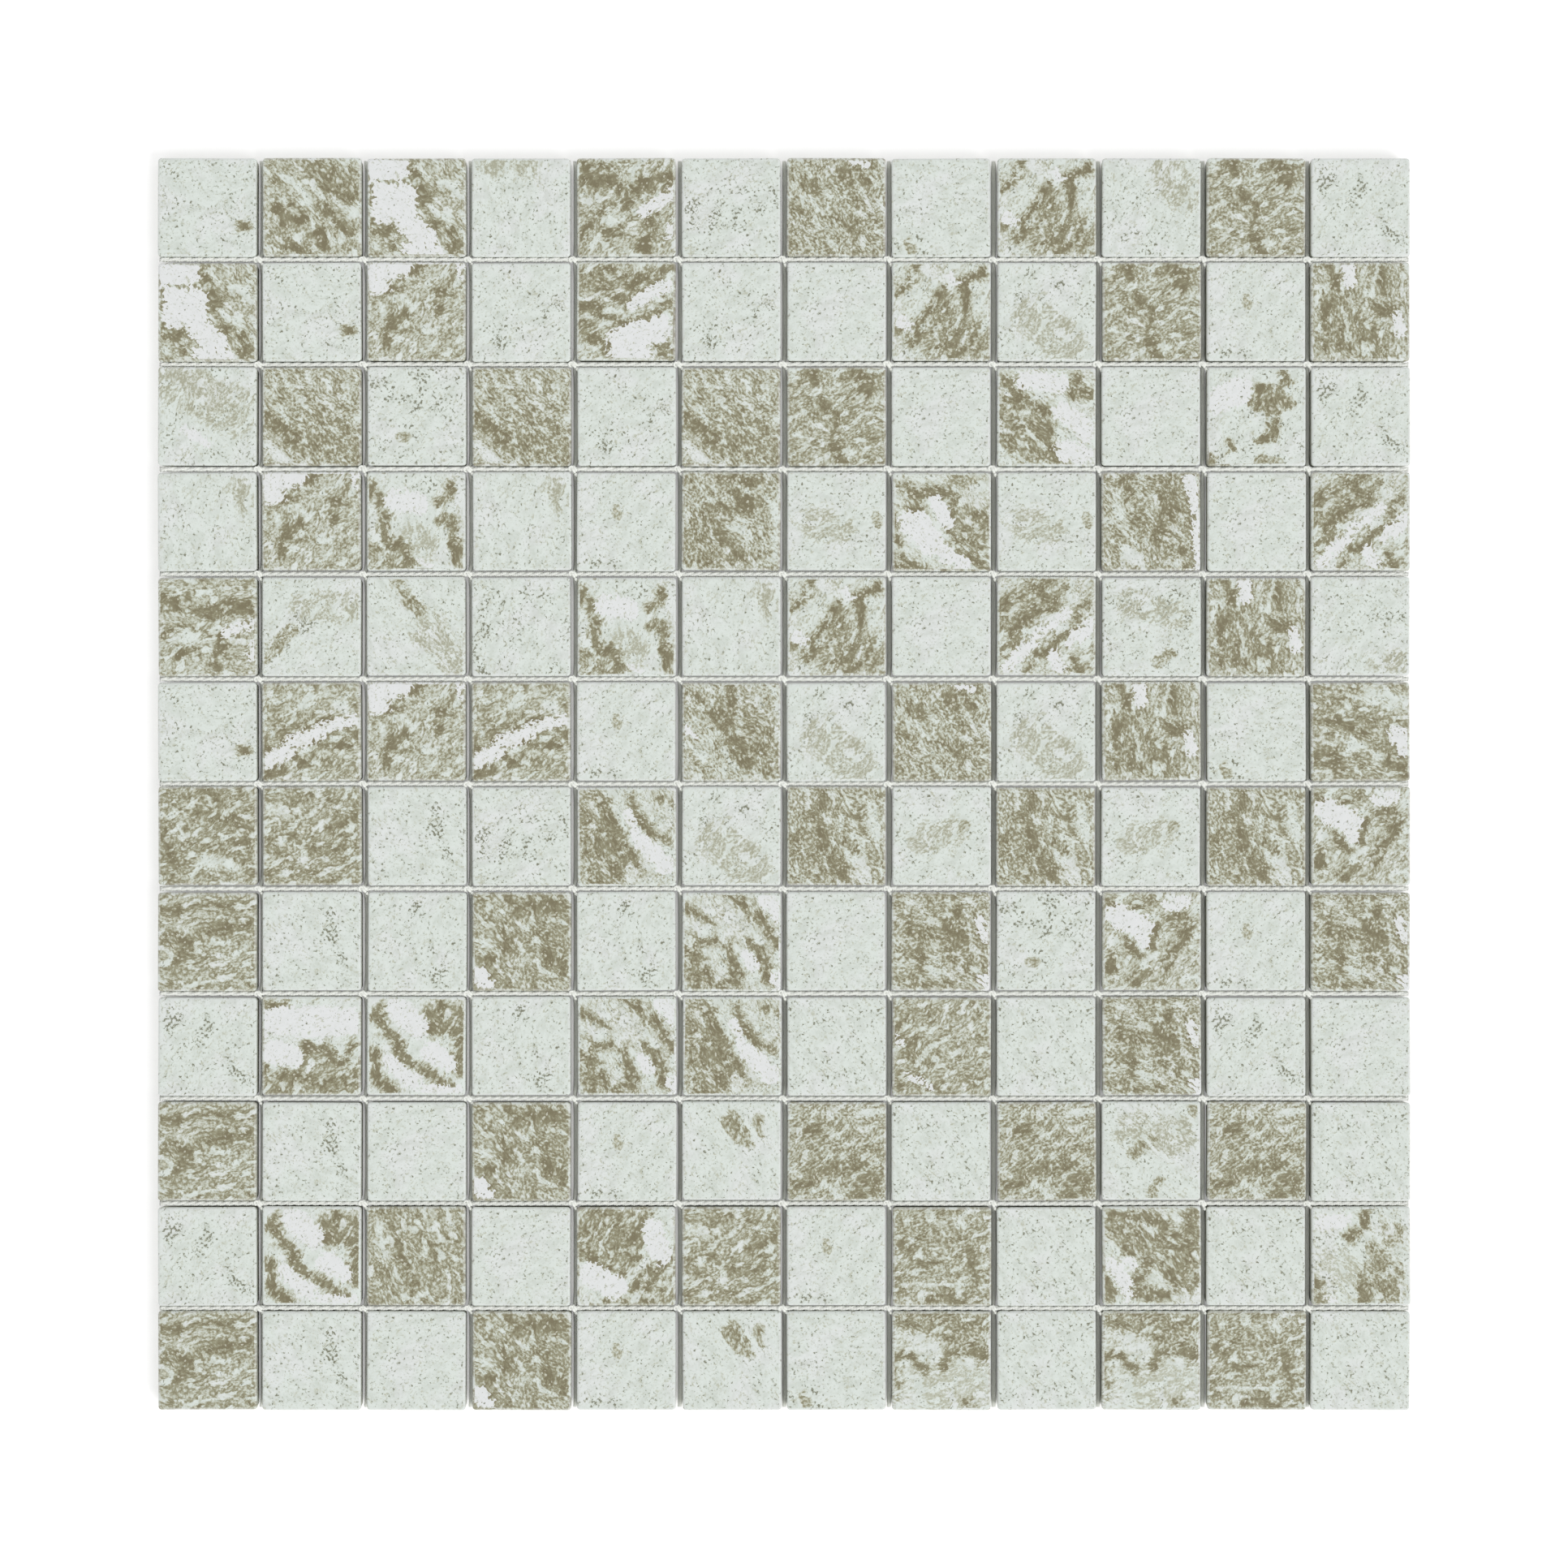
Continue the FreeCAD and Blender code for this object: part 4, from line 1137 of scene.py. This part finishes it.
def blank_knot(net):
    """One knot about the origin: two wraps slanting over the cord, a small loop and a tail."""
    bm = bmesh.new()
    yarn = net.ply * 0.7
    for off in (-0.3, 0.3):
        over = place_at(0.62 * off, 0.78 * off, 0.0, (-52, "Z"), (90, "X"), (15, "Z"))
        add_arc(bm, 0.72 * MM, yarn, 150, 5, over)
    add_arc(bm, 0.55 * MM, yarn * 0.85, 250, 6, place_at(-0.75, 0.1, 0.45, (20, "Z"), (25, "X")))
    tail = place_at(0.2, -0.75, -0.6, (-52, "Z"), (90, "X"))
    add_arc(bm, 0.95 * MM, yarn * 1.1, 75, 3, tail)
    smooth_and_turn_out(bm)
    return bm


class MOSAIC_OT_tile_rows(bpy.types.Operator):
    """Make the printed tiles, one piece for each row of the sheet"""

    bl_idname = "mosaic.tile_rows"
    bl_label = "Printed tiles"

    def execute(self, context):
        tiles = settings().tiles
        blank = bpy.data.meshes.new("blank_tile")
        bm = blank_tile(tiles)
        bm.to_mesh(blank)
        bm.free()
        looks = (shared("printed_stone_face", printed_look, tiles), shared("unglazed_tile_body", body_look, tiles))
        for row, node in enumerate(ROW_NODES):
            piece = new_piece(f"printed_row_{row + 1:02d}", make_row(row, blank, tiles), *looks)
            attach(piece, "root")
            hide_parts(node)
        bpy.data.meshes.remove(blank)
        return {"FINISHED"}


def finish_net(piece):
    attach(piece, "root")
    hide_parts(NET_NODE)


class MOSAIC_OT_net_cords(bpy.types.Operator):
    """Make the twisted cords that lie between the rows"""

    bl_idname = "mosaic.net_cords"
    bl_label = "Twisted cords"

    def execute(self, context):
        net = settings().net
        bm = bmesh.new()
        for number in range(ROWS - 1):
            add_cord(bm, number, net)
        smooth_and_turn_out(bm)
        finish_net(new_piece("net_cords", bm, shared("bleached_yarn", yarn_look, net)))
        return {"FINISHED"}


class MOSAIC_OT_net_strands(bpy.types.Operator):
    """Make the flat strands that run up the upright joints"""

    bl_idname = "mosaic.net_strands"
    bl_label = "Flat strands"

    def execute(self, context):
        net = settings().net
        bm = bmesh.new()
        for number in range(COLUMNS - 1):
            add_strand(bm, number, net)
        smooth_and_turn_out(bm)
        finish_net(new_piece("net_strands", bm, shared("bleached_yarn", yarn_look, net)))
        return {"FINISHED"}


class MOSAIC_OT_net_knots(bpy.types.Operator):
    """Tie a knot at each crossing of the net"""

    bl_idname = "mosaic.net_knots"
    bl_label = "Knots"

    def execute(self, context):
        net = settings().net
        dice = random.Random(500)
        one = bpy.data.meshes.new("blank_knot")
        bm = blank_knot(net)
        bm.to_mesh(one)
        bm.free()
        bm = bmesh.new()
        bm.from_mesh(one)
        bpy.data.meshes.remove(one)
        first = whole(bm)
        copies = [first]
        for _ in range((COLUMNS - 1) * (ROWS - 1) - 1):
            copies.append(bmesh.ops.duplicate(bm, geom=first)["geom"])
        for number, copy in enumerate(copies):
            row, column = divmod(number, COLUMNS - 1)
            verts = [part for part in copy if isinstance(part, bmesh.types.BMVert)]
            x = (column + 0.5 - (COLUMNS - 1) / 2) * PITCH
            y = (middle(ROW_NODES[row]).y + middle(ROW_NODES[row + 1]).y) / 2
            turn = Matrix.Rotation(math.radians(dice.uniform(-14, 14)), 4, "Z")
            size = Matrix.Scale(dice.uniform(0.9, 1.05), 4)
            place = Matrix.Translation((x, y, CORD_HEIGHT)) @ turn @ size
            bmesh.ops.transform(bm, matrix=place, verts=verts)
        finish_net(new_piece("net_knots", bm, shared("bleached_yarn", yarn_look, net)))
        return {"FINISHED"}


def floor_look(stage):
    """Pale floor that the camera and mirrors see as white, with the sheet's shadow kept."""
    look = Look("studio_floor")
    look.feed(look.shader.inputs["Base Color"], tuple(stage.white))
    look.feed(look.shader.inputs["Roughness"], 0.9)
    look.feed(look.shader.inputs["Specular IOR Level"], 0.0)
    look.feed(look.shader.inputs["Emission Color"], (1.0, 1.0, 1.0))
    look.feed(look.shader.inputs["Emission Strength"], look.maths("MULTIPLY", seen_directly(look), 0.25))
    return look.material


def seen_directly(look):
    """1 for rays from the camera and for what gloss and glass show, and otherwise 0."""
    path = look.node("ShaderNodeLightPath")
    seen = look.maths("MAXIMUM", path.outputs["Is Camera Ray"], path.outputs["Is Glossy Ray"])
    return look.maths("MAXIMUM", seen, path.outputs["Is Transmission Ray"])


class MOSAIC_OT_stage(bpy.types.Operator):
    """Set up the floor, the light and a camera straight above the sheet"""

    bl_idname = "mosaic.stage"
    bl_label = "Stage"

    def execute(self, context):
        stage = settings().stage
        scene = context.scene
        bm = bmesh.new()
        bmesh.ops.create_grid(bm, x_segments=1, y_segments=1, size=stage.floor / 2)
        floor = new_piece("floor", bm, floor_look(stage))

        world = bpy.data.worlds.new("soft_sky")
        world.use_nodes = True
        sky = world.node_tree.nodes["Background"]
        sky.inputs["Color"].default_value = (1.0, 1.0, 1.0, 1.0)
        sky.inputs["Strength"].default_value = stage.fill
        scene.world = world

        key = bpy.data.lights.new("key", "SUN")
        key.energy = stage.key
        key.angle = math.radians(30.0)
        lamp = bpy.data.objects.new("key", key)
        lamp.rotation_euler = Vector((1.4, -1.3, 1.5)).to_track_quat("Z", "Y").to_euler()
        scene.collection.objects.link(lamp)

        camera = bpy.data.cameras.new("camera")
        camera.sensor_width = 36.0
        camera.lens = camera.sensor_width * stage.distance / stage.view_width
        camera.clip_start = 0.01
        eye = bpy.data.objects.new("camera", camera)
        eye.location = (0.0, 0.0, TILE_THICKNESS + stage.distance)
        scene.collection.objects.link(eye)
        scene.camera = eye

        scene.view_settings.view_transform = "Standard"
        return {"FINISHED"}


OPERATORS = (
    MOSAIC_OT_tile_rows,
    MOSAIC_OT_net_cords,
    MOSAIC_OT_net_strands,
    MOSAIC_OT_net_knots,
    MOSAIC_OT_stage,
)


class MOSAIC_PT_sheet(bpy.types.Panel):
    """Lists the steps that dress the sheet"""

    bl_idname = "MOSAIC_PT_sheet"
    bl_label = "Tile Sheet"
    bl_space_type = "VIEW_3D"
    bl_region_type = "UI"
    bl_category = "Tile Sheet"

    def draw(self, context):
        for operator in OPERATORS:
            self.layout.operator(operator.bl_idname)


CLASSES = (TileSettings, NetSettings, StageSettings, SheetSettings, *OPERATORS, MOSAIC_PT_sheet)


def register():
    for each in CLASSES:
        bpy.utils.register_class(each)
    bpy.types.Scene.tile_sheet = bpy.props.PointerProperty(type=SheetSettings)


def unregister():
    del bpy.types.Scene.tile_sheet
    for each in reversed(CLASSES):
        bpy.utils.unregister_class(each)


def main():
    register()
    for step in (
        bpy.ops.mosaic.tile_rows,
        bpy.ops.mosaic.net_cords,
        bpy.ops.mosaic.net_strands,
        bpy.ops.mosaic.net_knots,
        bpy.ops.mosaic.stage,
    ):
        step()


if __name__ == "__main__":
    main()
